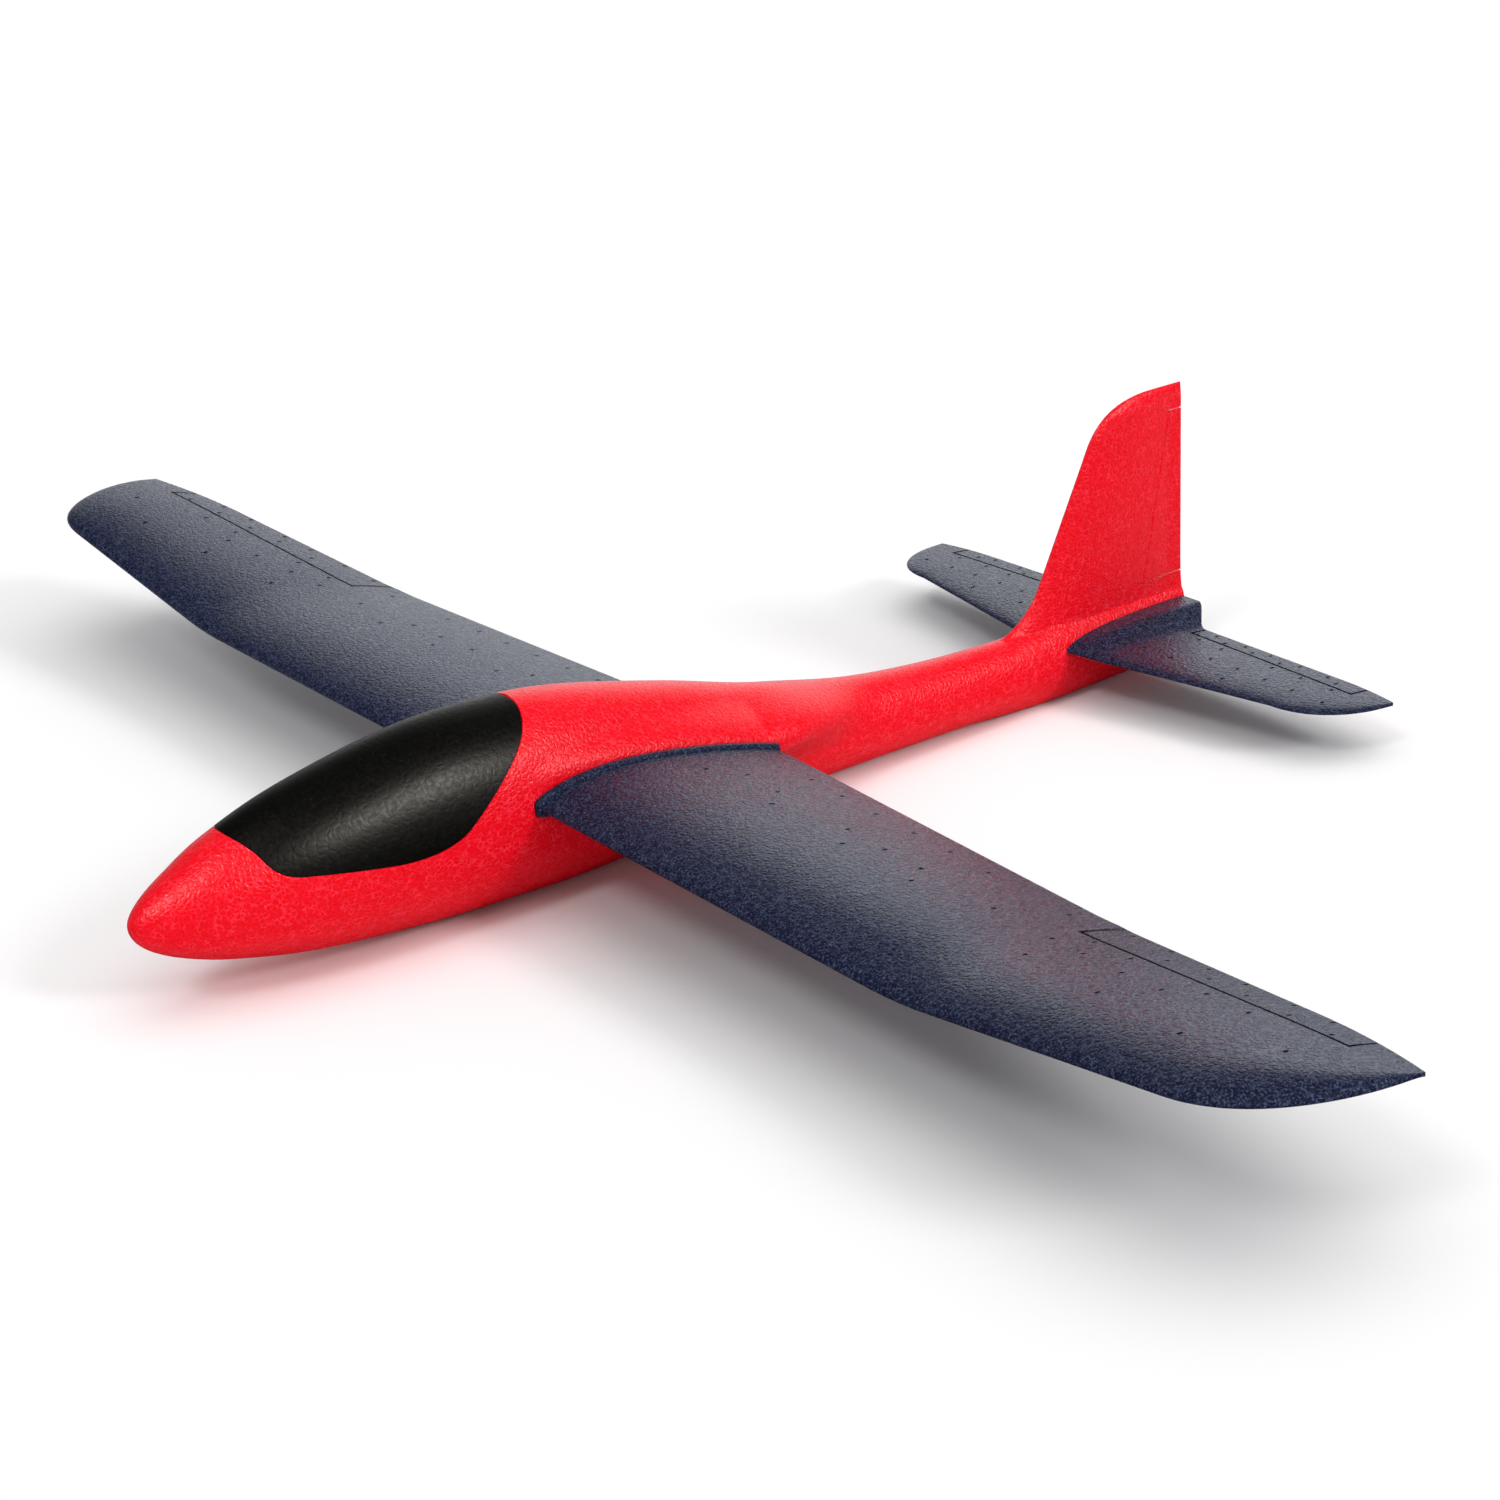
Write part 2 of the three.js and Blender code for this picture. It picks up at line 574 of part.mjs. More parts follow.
const weightEnd = WEIGHT.front + WEIGHT.length;
const plugStart = weightEnd + GAP;
const slug = (from, to) => bar("x", from, to, WEIGHT.radius, [0, WEIGHT.z]);
addPiece(glider, "nose_weight", slug(WEIGHT.front, weightEnd), STEEL);
addPiece(glider, "nose_weight_plug", slug(plugStart, plugStart + WEIGHT.plug), RED);
const magnet = (z) => bar("z", z, z + MAGNET.height, MAGNET.radius, [MAGNET.x, 0]);
addPiece(glider, "seat_magnet", magnet(MAGNET.seatZ), NICKEL);
addPiece(glider, "canopy_magnet", magnet(MAGNET.lidZ), NICKEL);
const rod = ({ half, radius }, { x, z }) => bar("y", -half, half, radius, [x, z], 16);
addPiece(glider, "wing_joiner", rod(JOINER, SPAR), CARBON);
addPiece(glider, "tail_joiner", rod(TAIL_JOINER, TAIL_JOINER), CARBON);

// Both sides come from one set of solids: the left side is the right one mirrored across y = 0.
const grown = bodySolid(GAP).add(finSolid(GAP));
const rightPieces = { ...wingPieces(), ...tailPieces(grown) };
for (const [side, mirror] of [["right", 1], ["left", -1]]) {
  const half = new THREE.Group();
  half.scale.y = mirror;
  for (const [name, made] of Object.entries(rightPieces)) {
    addPiece(half, `${name}_${side}`, made, name === "wing_spar" ? CARBON : NAVY);
  }
  glider.add(half);
}

export default glider;
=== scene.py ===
"""A hand-launched foam glider: fine surfaces and moulded-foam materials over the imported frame.

Lengths are in millimetres in the shape code and in metres on the Blender objects. +X is aft, +Y is the
right wing and +Z is up, with the origin on the flat of the belly.
"""

import math
from collections import namedtuple

import bmesh
import bpy
import numpy as np
from mathutils import Matrix, Vector


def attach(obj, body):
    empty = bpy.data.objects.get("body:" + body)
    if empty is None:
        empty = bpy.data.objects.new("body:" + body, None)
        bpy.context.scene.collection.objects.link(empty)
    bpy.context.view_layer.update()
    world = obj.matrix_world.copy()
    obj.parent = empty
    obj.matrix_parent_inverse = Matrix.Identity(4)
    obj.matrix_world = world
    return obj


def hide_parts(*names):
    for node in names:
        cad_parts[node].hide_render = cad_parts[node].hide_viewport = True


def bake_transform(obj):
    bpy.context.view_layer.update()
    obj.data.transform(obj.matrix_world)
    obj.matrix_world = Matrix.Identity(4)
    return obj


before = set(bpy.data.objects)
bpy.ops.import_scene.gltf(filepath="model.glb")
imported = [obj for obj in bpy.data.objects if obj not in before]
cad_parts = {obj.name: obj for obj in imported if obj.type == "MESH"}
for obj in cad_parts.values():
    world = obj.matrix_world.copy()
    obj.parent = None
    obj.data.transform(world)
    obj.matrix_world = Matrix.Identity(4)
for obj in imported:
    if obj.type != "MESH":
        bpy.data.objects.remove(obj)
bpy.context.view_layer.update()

MM = 0.001

# ---- driving dimensions ----
#
# These are the frame's own, but the ailerons and elevators have narrower end gaps and thicker webs.

GAP = 0.4  # clearance between pieces that only rest against each other
BEYOND = 60.0  # how far a cutting shape runs past the piece it cuts
ACROSS = (-BEYOND, BEYOND)  # the y range of a cut right through the fuselage

# The fuselage's outline: x, underside z, upper z, half width. Sections are ellipses.
BODY = np.array([
    (-237, 47, 47, 0),
    (-229, 33.5, 57.2, 11.6),
    (-213, 25, 66.6, 19),
    (-190, 17.4, 77.6, 26.6),
    (-150, 8.8, 90, 34),
    (-89, 2.4, 100.7, 37.5),
    (-40, 0.2, 101, 37.5),
    (0, -0.6, 96.3, 35.5),
    (60, 2, 81.4, 29.5),
    (110, 3.4, 66.4, 24),
    (165, 3.6, 53, 19.6),
    (230, 3.2, 45, 16.8),
    (313, 1.8, 42, 13.5),
    (413, 2.4, 38.5, 4.2),
])

WING_ROOT, WING_BREAK, WING_TIP = 36.4, 297.0, 505.0
WING_LEAD = -42.0
WING_TRAIL = (97.5, 83.0, 45.5)  # trailing edge's x at the root, the bend and the tip
WING_TRAIL_Z, WING_SLOPE, DIHEDRAL = 45.6, 0.08, 0.15
BEND = 18.0  # half the span of the bend between the inner and the outer panel
ROUND_FROM, ROUND_X = 447.0, 37.5  # where the leading edge rounds in, and x of the tip's outermost point
SWEEP_FROM, TIP_SWEEP = 435.0, 7.0  # the trailing edge curves forward over the last of the span
CAMBER, THICKNESS, TRAIL_THICKNESS = 0.042, 0.098, 1.8
LIP_WIDTH, LIP_HEIGHT = 4.5, 1.9  # the raised edge round the wing root
TONGUE = ((14, 56), (2, WING_ROOT + 10), (52.8, 56.6))
SPAR_X, SPAR_Z, SPAR_OUTER, SPAR_END = 2.0, 57.8, 4.0, 276.0
JOINER_RADIUS = 3.0

STAB_LEAD, STAB_TRAIL = (313.5, 341.0), (398.5, 394.5)  # x at the root and at the tip
STAB_ROUND_FROM, STAB_TIP = 138.0, 178.0
STAB_ROUND_X, STAB_SWEEP = 387.0, 4.0
STAB_TRAIL_Z, STAB_SLOPE, STAB_THICKNESS = 26.4, 0.04, 0.078
CUFF_HEIGHT, CUFF_TRAIL = 8.0, 412.0  # the tall root of each tail half
CUFF_TOP_Y, CUFF_FOOT_Y = 16.0, 37.0
CUFF_FADE, CUFF_RISE = 1.2, 0.8  # powers: of its fall along the span, and of its rise along the chord
TAIL_TONGUE = ((346, 376), (0.8, CUFF_TOP_Y), (26, 30))
TAIL_ROD_X, TAIL_ROD_Z, TAIL_ROD_RADIUS, TAIL_ROD_HALF = 334.0, 29.0, 1.5, 44.0

FIN_TRAIL_X, FIN_TOP_Z = 413.0, 158.5
FIN_HALF, FIN_TOP_HALF, FIN_TRAIL_HALF = 5.0, 3.0, 1.0

AILERON = dict(inner=(56, 302.5), outer=(33, 472.5), depth=0.7, end_gap=0.65)
ELEVATOR = dict(inner=(386.5, 37), outer=(381.5, 157), depth=0.7, end_gap=0.45)
RUDDER = dict(lower=(381.5, 49.5), upper=(403.5, 144.5), end_gap=0.7)
HINGE_GAP, WEB_DEPTH, GROOVE_DEPTH = 1.6, 0.6, 0.22
BEVEL = math.tan(math.radians(27))
CUT_TALL = 16.0  # how far a hinge's cut reaches above and below its web

# The corners (x, z) of the canopy's lower edge, and the finger notch at its rear.
CANOPY_FRONT, CANOPY_CHIN = (-191, 81), (-174.5, 60.3)
CANOPY_HEEL, CANOPY_REAR = (-95, 48), (-30.5, 104)
CANOPY_TOP, CANOPY_RUN = 130.0, (-205.0, 0.0)  # past its upper edge, and the run of x of its skin
NOTCH_HALF, NOTCH_RADIUS, NOTCH_X, NOTCH_Z = 7.0, 3.0, -30.0, 101.5
BAY = ((-166, -112), (-20, 20), (28, 74))
WEIGHT_Z, WEIGHT_RADIUS, WEIGHT_FRONT = 46.5, 6.5, -208.0
MAGNET_X, MAGNET_RADIUS, MAGNET_HEIGHT = -97.0, 4.0, 3.0
MAGNET_SEAT_Z, MAGNET_LID_Z = 46.4, 51.8

# ---- curves ----


def clamp01(t):
    return np.clip(t, 0.0, 1.0)


def smoothstep(low, high, t):
    t = clamp01((t - low) / (high - low))
    return t * t * (3 - 2 * t)


def along_table(table, t):
    """Catmull-Rom through the rows of a table, t from 0 to 1, as an array with one row for each t."""
    place = np.atleast_1d(t) * (len(table) - 1)
    i = np.clip(place.astype(int), 0, len(table) - 2)
    u = (place - i)[:, None]
    p0, p1, p2, p3 = (table[np.clip(i + step, 0, len(table) - 1)] for step in (-1, 0, 1, 2))
    v0, v1 = (p2 - p0) / 2, (p3 - p1) / 2
    return p1 + u * (v0 + u * (3 * (p2 - p1) - 2 * v0 - v1 + u * (2 * (p1 - p2) + v0 + v1)))


def quadratic(a, b, c, count):
    """Points along the curve from a to c that heads for b."""
    t = np.linspace(0, 1, count)[:, None]
    a, b, c = (np.array(p, float) for p in (a, b, c))
    return (1 - t) ** 2 * a + 2 * t * (1 - t) * b + t**2 * c


def half_thickness(u, thickness):
    """Half the depth of a symmetric wing section of unit chord, at each share u of the chord."""
    poly = 0.2969 * np.sqrt(u) - 0.126 * u - 0.3516 * u**2 + 0.2843 * u**3 - 0.1036 * u**4
    return 5 * thickness * poly


def camber_line(u, camber):
    """Height of a section's middle line over its chord, highest at peak."""
    peak = 0.4
    share = np.where(u < peak, u / peak, (1 - u) / (1 - peak))
    return camber * (2 * share - share**2)


def tip_round(y, start, tip, power=2.4):
    """How far an edge has rounded in at each span y: 0 up to start and 1 at the tip."""
    t = clamp01((y - start) / (tip - start))
    return 1 - np.sqrt(np.maximum(1 - t**power, 0))


# ---- meshes ----


def new_object(name, vertices, faces):
    """A mesh object from millimetre vertices."""
    mesh = bpy.data.meshes.new(name)
    mesh.from_pydata([tuple(v) for v in np.asarray(vertices) * MM], [], faces)
    mesh.validate()
    made = bpy.data.objects.new(name, mesh)
    bpy.context.scene.collection.objects.link(made)
    return made


def loft(name, rings):
    """Skins an array of rings (ring, point, xyz) and closes both ends."""
    rings = np.asarray(rings, float)
    count, sides = rings.shape[:2]
    index = np.arange(count * sides).reshape(count, sides)
    faces = []
    for lower, upper in zip(index[:-1], index[1:]):
        after, above = np.roll(lower, -1), np.roll(upper, -1)
        faces += np.stack([lower, after, above, upper], 1).tolist()
    faces.append(index[0][::-1].tolist())
    faces.append(index[-1].tolist())
    made = new_object(name, rings.reshape(-1, 3), faces)
    face_outwards(made)
    return made


def face_outwards(made):
    shape = bmesh.new()
    shape.from_mesh(made.data)
    bmesh.ops.recalc_face_normals(shape, faces=shape.faces)
    shape.to_mesh(made.data)
    shape.free()


def box(name, x, y, z):
    corners = [(a, b, c) for c in z for b in y for a in x]
    faces = [(0, 2, 3, 1), (4, 5, 7, 6), (0, 1, 5, 4), (2, 6, 7, 3), (0, 4, 6, 2), (1, 3, 7, 5)]
    return new_object(name, corners, faces)


def bar(name, axis, low, high, radius, centre, sides=48):
    """A round bar along an axis from low to high, centred on the other two coordinates."""
    angle = np.linspace(0, 2 * math.pi, sides, endpoint=False)
    u, v = centre[0] + radius * np.cos(angle), centre[1] + radius * np.sin(angle)
    order = {"x": lambda w: (w, u, v), "y": lambda w: (u, w, v), "z": lambda w: (u, v, w)}[axis]
    rings = [np.stack(np.broadcast_arrays(*order(w)), 1) for w in (low, high)]
    return loft(name, rings)


def slab(name, outline, y):
    """A side-view outline of (x, z) points as a slab between two y values."""
    return loft(name, [[(x, side, z) for x, z in outline] for side in y])


def boolean(target, tool, operation, keep_tool=False):
    """Cuts, joins or intersects target with tool."""
    modifier = target.modifiers.new("cut", "BOOLEAN")
    modifier.operation = operation
    modifier.solver = "EXACT"
    modifier.object = tool
    apply_modifiers(target)
    if not keep_tool:
        discard(tool)
    return target


def apply_modifiers(made):
    graph = bpy.context.evaluated_depsgraph_get()
    mesh = bpy.data.meshes.new_from_object(made.evaluated_get(graph))
    old = made.data
    made.modifiers.clear()
    made.data = mesh
    bpy.data.meshes.remove(old)


def copy_of(made, name):
    twin = made.copy()
    twin.data = made.data.copy()
    twin.name = name
    bpy.context.scene.collection.objects.link(twin)
    return twin


def discard(made):
    mesh = made.data
    bpy.data.objects.remove(made)
    bpy.data.meshes.remove(mesh)


def mirrored(made, name):
    """The same mesh on the other side of the symmetry plane."""
    twin = copy_of(made, name)
    twin.data.transform(Matrix.Scale(-1, 4, (0, 1, 0)))
    twin.data.flip_normals()
    return twin


def smooth(made, angle=32):
    for polygon in made.data.polygons:
        polygon.use_smooth = True
    made.data.set_sharp_from_angle(angle=math.radians(angle))


def paint_wall_shade(made, hinge):
    """Gives the walls of the cut round a control surface the object's second material, a flat dark navy
    that paints in the shade falling in the groove.
    """
    for polygon in made.data.polygons:
        if hinge.is_wall(Vector(polygon.center) / MM, polygon.normal):
            polygon.material_index = 1


def joined(parts, name):
    """Several objects as one, each keeping its own closed shell."""
    shape = bmesh.new()
    for part in parts:
        shape.from_mesh(part.data)
    mesh = bpy.data.meshes.new(name)
    shape.to_mesh(mesh)
    shape.free()
    for part in parts:
        discard(part)
    made = bpy.data.objects.new(name, mesh)
    bpy.context.scene.collection.objects.link(made)
    return made


def cut(target, tools):
    """Takes several cutting shapes away from target in one pass."""
    first, *others = tools
    for tool in others:
        boolean(first, tool, "UNION")
    return boolean(target, first, "DIFFERENCE")


# ---- fuselage ----

NOSE_X, NOSE_END, NOSE_Z = -237.0, -213.0, 47.0
NOSE_POWERS = (0.45, 0.6, 0.505)  # how bluntly the underside, the top and the sides start
FIN_FOOT, FIN_FILLET, FIN_KNEE = (262, 38), (294.5, 43.5), (306.5, 64)
FIN_HEAD, FIN_CROWN, FIN_PEAK = (342, 132), (353.5, FIN_TOP_Z), (391, FIN_TOP_Z)
FIN_BASE_Z, FIN_TOP_ROUND = 40.0, 8.0
FIN_BLEND, FIN_BLEND_AHEAD = 9.0, 20.0  # the fin's fillet, and how far ahead of the foot it starts
FIN_BLEND_DROP = 6.0  # depth below the top over which the fillet reaches its size
FAIRING_REACH, FAIRING_END_X = 13.0, 185.0  # how far the wing fairing spreads, and where it ends
FAIRING_WIDENS, FAIRING_AFT_X = 6.0, (-30.0, 110.0)  # how much wider it gets over this run of x
FAIRING_FLANK = 0.8  # share of the half width from which the flank takes the full fairing
SEAT_CLEAR = 0.05  # how far the fairing stays inside the bottom of the wing's seat
GROWN_FROM = 280.0  # x from where the tail halves are fitted round the fuselage
BODY_SIDES = 130
BODY_STEP = 1.8


def body_at(x):
    """Underside z, upper z and half width of the fuselage at each x."""
    table = along_table(BODY, np.linspace(0, 1, 3000))
    profile = [np.interp(x, table[:, 0], table[:, column]) for column in (1, 2, 3)]
    share = clamp01((x - NOSE_X) / (NOSE_END - NOSE_X))
    starts = (NOSE_Z, NOSE_Z, 0)
    ends = [np.interp(NOSE_END, table[:, 0], table[:, column]) for column in (1, 2, 3)]
    rounded = [a + (b - a) * share**power for a, b, power in zip(starts, ends, NOSE_POWERS)]
    return [np.where(x < NOSE_END, near, far) for near, far in zip(rounded, profile)]


def fin_path():
    """The fin's leading edge as rows of (x, z), from the foot of the fillet to the top."""
    foot = quadratic(FIN_FOOT, FIN_FILLET, FIN_KNEE, 24)
    crown = quadratic(FIN_HEAD, FIN_CROWN, FIN_PEAK, 32)
    return np.vstack([foot, crown])


def fin_half(x, z):
    """Half thickness of the fin at each (x, z), negative ahead of its leading edge."""
    path = fin_path()
    lead = np.interp(np.maximum(z, path[0, 1]), path[:, 1], path[:, 0])
    height = clamp01((z - FIN_BASE_Z) / (FIN_TOP_Z - FIN_BASE_Z))
    soft = np.sqrt(clamp01((FIN_TOP_Z - z) / FIN_TOP_ROUND))
    u = clamp01((x - lead) / (FIN_TRAIL_X - lead))
    bulge = half_thickness(u, 1) / 0.5
    half = (FIN_HALF + (FIN_TOP_HALF - FIN_HALF) * height) * soft * bulge
    half = np.maximum(half, FIN_TRAIL_HALF * soft * np.minimum(6 * u, 1))
    return np.where(x < lead, -4 * np.sqrt(np.maximum(lead - x, 0)), half)


def root_distance(x, z):
    """Distance in side view from each point to the wing root's section, 0 inside it.

    Aft of the trailing edge it is the distance above or below that edge.
    """
    u = (1 - np.cos(np.linspace(0, math.pi, 60))) / 2
    top = wing_points(np.array([WING_ROOT]), u, True)[0][:, [0, 2]]
    below = wing_points(np.array([WING_ROOT]), u, False)[0][:, [0, 2]]
    inside = (z < np.interp(x, top[:, 0], top[:, 1])) & (z > np.interp(x, below[:, 0], below[:, 1]))
    inside &= (x > top[0, 0]) & (x < top[-1, 0])
    x = np.minimum(x, top[-1, 0])
    outline = np.vstack([top, below[::-1]])
    nearest = np.full(x.shape, 1e9)
    for (ax, az), (bx, bz) in zip(outline[:-1], outline[1:]):
        length = max((bx - ax) ** 2 + (bz - az) ** 2, 1e-9)
        t = clamp01(((x - ax) * (bx - ax) + (z - az) * (bz - az)) / length)
        gap = np.hypot(x - ax - t * (bx - ax), z - az - t * (bz - az))
        nearest = np.minimum(nearest, gap)
    return np.where(inside, 0, nearest)


def flank(x, z, low, high, half, top):
    """Half width of the fuselage, with its fin and wing fairings, at each (x, z)."""
    middle, tall = (low + high) / 2, np.maximum((high - low) / 2, 1e-6)
    level = ((z - middle) / tall) ** 2
    hull = half * np.where(level < 1, np.sqrt(np.abs(1 - level)), -np.sqrt(np.abs(level - 1)))
    fin = fin_half(x, z)
    soft = FIN_BLEND * smoothstep(0, FIN_BLEND_DROP, top - z) + 1e-6
    overlap = np.maximum(soft - np.abs(hull - fin), 0) / soft
    blended = np.maximum(hull, fin) + overlap**2 * soft / 4
    y = np.where(x > FIN_FOOT[0] - FIN_BLEND_AHEAD, blended, hull)
    seat = WING_ROOT - GAP - SEAT_CLEAR
    reach = FAIRING_REACH + FAIRING_WIDENS * smoothstep(*FAIRING_AFT_X, x)
    weight = 1 - smoothstep(0, reach, root_distance(x, z))
    weight = weight * (1 - smoothstep(WING_TRAIL[0], FAIRING_END_X, x))
    weight = weight * smoothstep(0, FAIRING_FLANK, hull / half)
    return np.maximum(np.where(y < seat, y + (seat - y) * weight * (hull > 0), y), 0)


def fuselage_skin(name, stations, sides, grow=0.0):
    """The fuselage's outer surface over a range of x, larger all round by grow."""
    x = stations[:, None]
    low, high, half = (column[:, None] for column in body_at(stations))
    path = fin_path()
    fin_top = np.where(stations > FIN_FOOT[0], np.interp(stations, path[:, 0], path[:, 1]), 0)[:, None]
    top = np.maximum(high, fin_top)
    turn = np.linspace(0, math.pi, sides)[None, :]
    z = top - (top - low) * (1 - np.cos(turn)) / 2
    y = flank(x, z, low, high, half, top)
    y[:, [0, -1]] = 0
    z = z + grow * np.cos(turn)
    y = y + grow * np.sin(turn)
    z = np.maximum(z, -grow)
    right = np.stack([np.broadcast_to(x, z.shape), y, z], 2)
    left = right[:, -2:0:-1] * (1, -1, 1)
    return loft(name, np.concatenate([right, left], 1))


def body_stations(start, end, step):
    """Places along the fuselage from start to end, close together round the nose."""
    nose = NOSE_X + (NOSE_END - NOSE_X) * np.linspace(0.02, 1, 24) ** 2
    rest = np.arange(NOSE_END + step, end - step / 2, step)
    every = np.concatenate([nose, rest, [end]])
    return every[every >= start]


# ---- wings and tail halves ----

SECTION_POINTS = 56
LIP_ROUND = 2.2  # how far in from its outer edge the lip starts to round down
LIP_EASE, LIP_START = 0.8, 0.8  # the span over which the lip rises, and the share it rises from


def wing_edges(y):
    """Leading and trailing edge x, and the trailing edge's z, at each span y."""
    root, bend, tip = WING_TRAIL
    straight = np.interp(y, (WING_ROOT, WING_BREAK, WING_TIP), (root, bend, tip))
    lead = WING_LEAD + (ROUND_X - WING_LEAD) * tip_round(y, ROUND_FROM, WING_TIP)
    trail = straight - TIP_SWEEP * clamp01((y - SWEEP_FROM) / (WING_TIP - SWEEP_FROM)) ** 2
    past = np.clip(y - WING_BREAK + BEND, 0, 2 * BEND)
    rise = past**2 / (4 * BEND) + np.maximum(y - WING_BREAK - BEND, 0)
    return lead, trail, WING_TRAIL_Z + DIHEDRAL * rise


def wing_points(y, u, top, proud=0.0):
    """Points on the wing's skin for each span y and each share u of the chord, pushed out by proud."""
    lead, trail, trail_z = (column[:, None] for column in wing_edges(y))
    proud = np.broadcast_to(proud, y.shape)[:, None]
    chord = trail - lead
    half = half_thickness(u, THICKNESS) * chord + u * TRAIL_THICKNESS / 2 + proud
    z = trail_z + WING_SLOPE * (1 - u) * chord + camber_line(u, CAMBER) * chord
    x = lead + u * chord + proud * (2 * u - 1)
    return np.stack([x, np.broadcast_to(y[:, None], x.shape), z + (half if top else -half)], 2)


def stab_edges(y):
    """Leading and trailing edge x of a tail half at each span y, and how much of the cuff is left."""
    root, tip = STAB_LEAD
    straight = root + (tip - root) * clamp01(y / STAB_ROUND_FROM)
    curve = tip_round(y, STAB_ROUND_FROM, STAB_TIP, 2.2)
    lead = straight + (STAB_ROUND_X - straight) * curve
    plain = STAB_TRAIL[0] + (STAB_TRAIL[1] - STAB_TRAIL[0]) * y / STAB_TIP
    swept = STAB_SWEEP * clamp01((y - STAB_ROUND_FROM) / (STAB_TIP - STAB_ROUND_FROM)) ** 2
    fade = (1 - smoothstep(CUFF_TOP_Y, CUFF_FOOT_Y, y)) ** CUFF_FADE
    trail = plain - swept + (CUFF_TRAIL - plain) * fade
    return lead, trail, fade


def stab_points(y, u, top):
    """Points on a tail half's skin for each span y and each share u of the chord."""
    lead, trail, fade = (column[:, None] for column in stab_edges(y))
    chord = trail - lead
    half = half_thickness(u, STAB_THICKNESS) * chord + u * TRAIL_THICKNESS / 2
    crown = CUFF_HEIGHT * fade * u**CUFF_RISE if top else 0
    middle = STAB_TRAIL_Z + STAB_SLOPE * (1 - u) * chord
    z = middle + (half + crown if top else -half)
    return np.stack([lead + u * chord, np.broadcast_to(y[:, None], z.shape), z], 2)


def section_rings(points, y, *more):
    """Rings along the top from the trailing edge to the nose, and back below."""
    u = (1 + np.cos(np.linspace(0, math.pi, SECTION_POINTS))) / 2
    top = points(y, u, True, *more)
    below = points(y, u[-2::-1], False, *more)
    return np.concatenate([top, below], 1)


def lip_proud(y):
    """How far the lip round the wing root stands out of the skin at each span y."""
    t = clamp01((WING_ROOT + LIP_WIDTH - y) / LIP_ROUND)
    start = clamp01((y - WING_ROOT) / LIP_EASE)
    eased = LIP_START + (1 - LIP_START) * np.sqrt(1 - (1 - start) ** 2)
    return LIP_HEIGHT * np.sqrt(1 - (1 - t) ** 2) * eased


def stations_between(*runs):
    """Span stations from (start, end, step) runs."""
    stations = [np.arange(start, end, step) for start, end, step in runs]
    return np.concatenate(stations + [[runs[-1][1]]])


def wing_half():
    """The right wing half in one piece, with its tongue and the bore for its tube."""
    coarse = 3
    root_end = WING_ROOT + LIP_WIDTH
    y = stations_between(
        (WING_ROOT, WING_ROOT + 1, 0.25),
        (WING_ROOT + 1, root_end - LIP_ROUND, 0.6),
        (root_end - LIP_ROUND, root_end, 0.2),
        (root_end, WING_BREAK - BEND, 2 * coarse),
        (WING_BREAK - BEND, WING_BREAK + BEND, coarse),
        (WING_BREAK + BEND, ROUND_FROM, 2 * coarse),
        (ROUND_FROM, WING_TIP - 16, 2),
        (WING_TIP - 16, WING_TIP - 3, 0.8),
        (WING_TIP - 3, WING_TIP - 0.05, 0.25),
    )
    wing = loft("wing_right_foam", section_rings(wing_points, y, lip_proud(y)))
    boolean(wing, box("tongue", *TONGUE), "UNION")
    bore = bar("bore", "y", WING_ROOT - 2, SPAR_END + GAP, SPAR_OUTER + GAP, (SPAR_X, SPAR_Z))
    return boolean(wing, bore, "DIFFERENCE")


def tail_half(fuselage_grown):
    """The right tail half in one piece, fitted round the fuselage."""
    coarse = 3
    y = stations_between(
        (0, CUFF_TOP_Y, 4),
        (CUFF_TOP_Y, CUFF_FOOT_Y, 0.6),
        (CUFF_FOOT_Y, STAB_ROUND_FROM, coarse),
        (STAB_ROUND_FROM, STAB_TIP - 8, 1.5),
        (STAB_TIP - 8, STAB_TIP - 0.05, 0.3),
    )
    tail = loft("tailplane_right_foam", section_rings(stab_points, y))
    boolean(tail, fuselage_grown, "DIFFERENCE", keep_tool=True)
    boolean(tail, box("middle", (0, 600), (-BEYOND, 1), (-50, 250)), "DIFFERENCE")
    boolean(tail, box("tongue", *TAIL_TONGUE), "UNION")
    bore = bar("bore", "y", 0, TAIL_ROD_HALF + GAP, TAIL_ROD_RADIUS + GAP, (TAIL_ROD_X, TAIL_ROD_Z))
    return boolean(tail, bore, "DIFFERENCE")


# ---- control surfaces ----

Skin = namedtuple("Skin", "points edges")
WING_SKIN = Skin(wing_points, wing_edges)
TAIL_SKIN = Skin(stab_points, stab_edges)


def skin_point(skin, place):
    """The point on a skin's top at a given (x, y)."""
    x, y = place
    y = np.array([float(y)])
    lead, trail = skin.edges(y)[:2]
    u = (x - lead) / (trail - lead)
    return Vector(skin.points(y, u, True)[0, 0])


def prism(name, ends, profile, across, upward):
    """A profile of (across, upward) pairs carried from one end point to the other."""
    return loft(name, [[end + c * across + n * upward for c, n in profile] for end in ends])


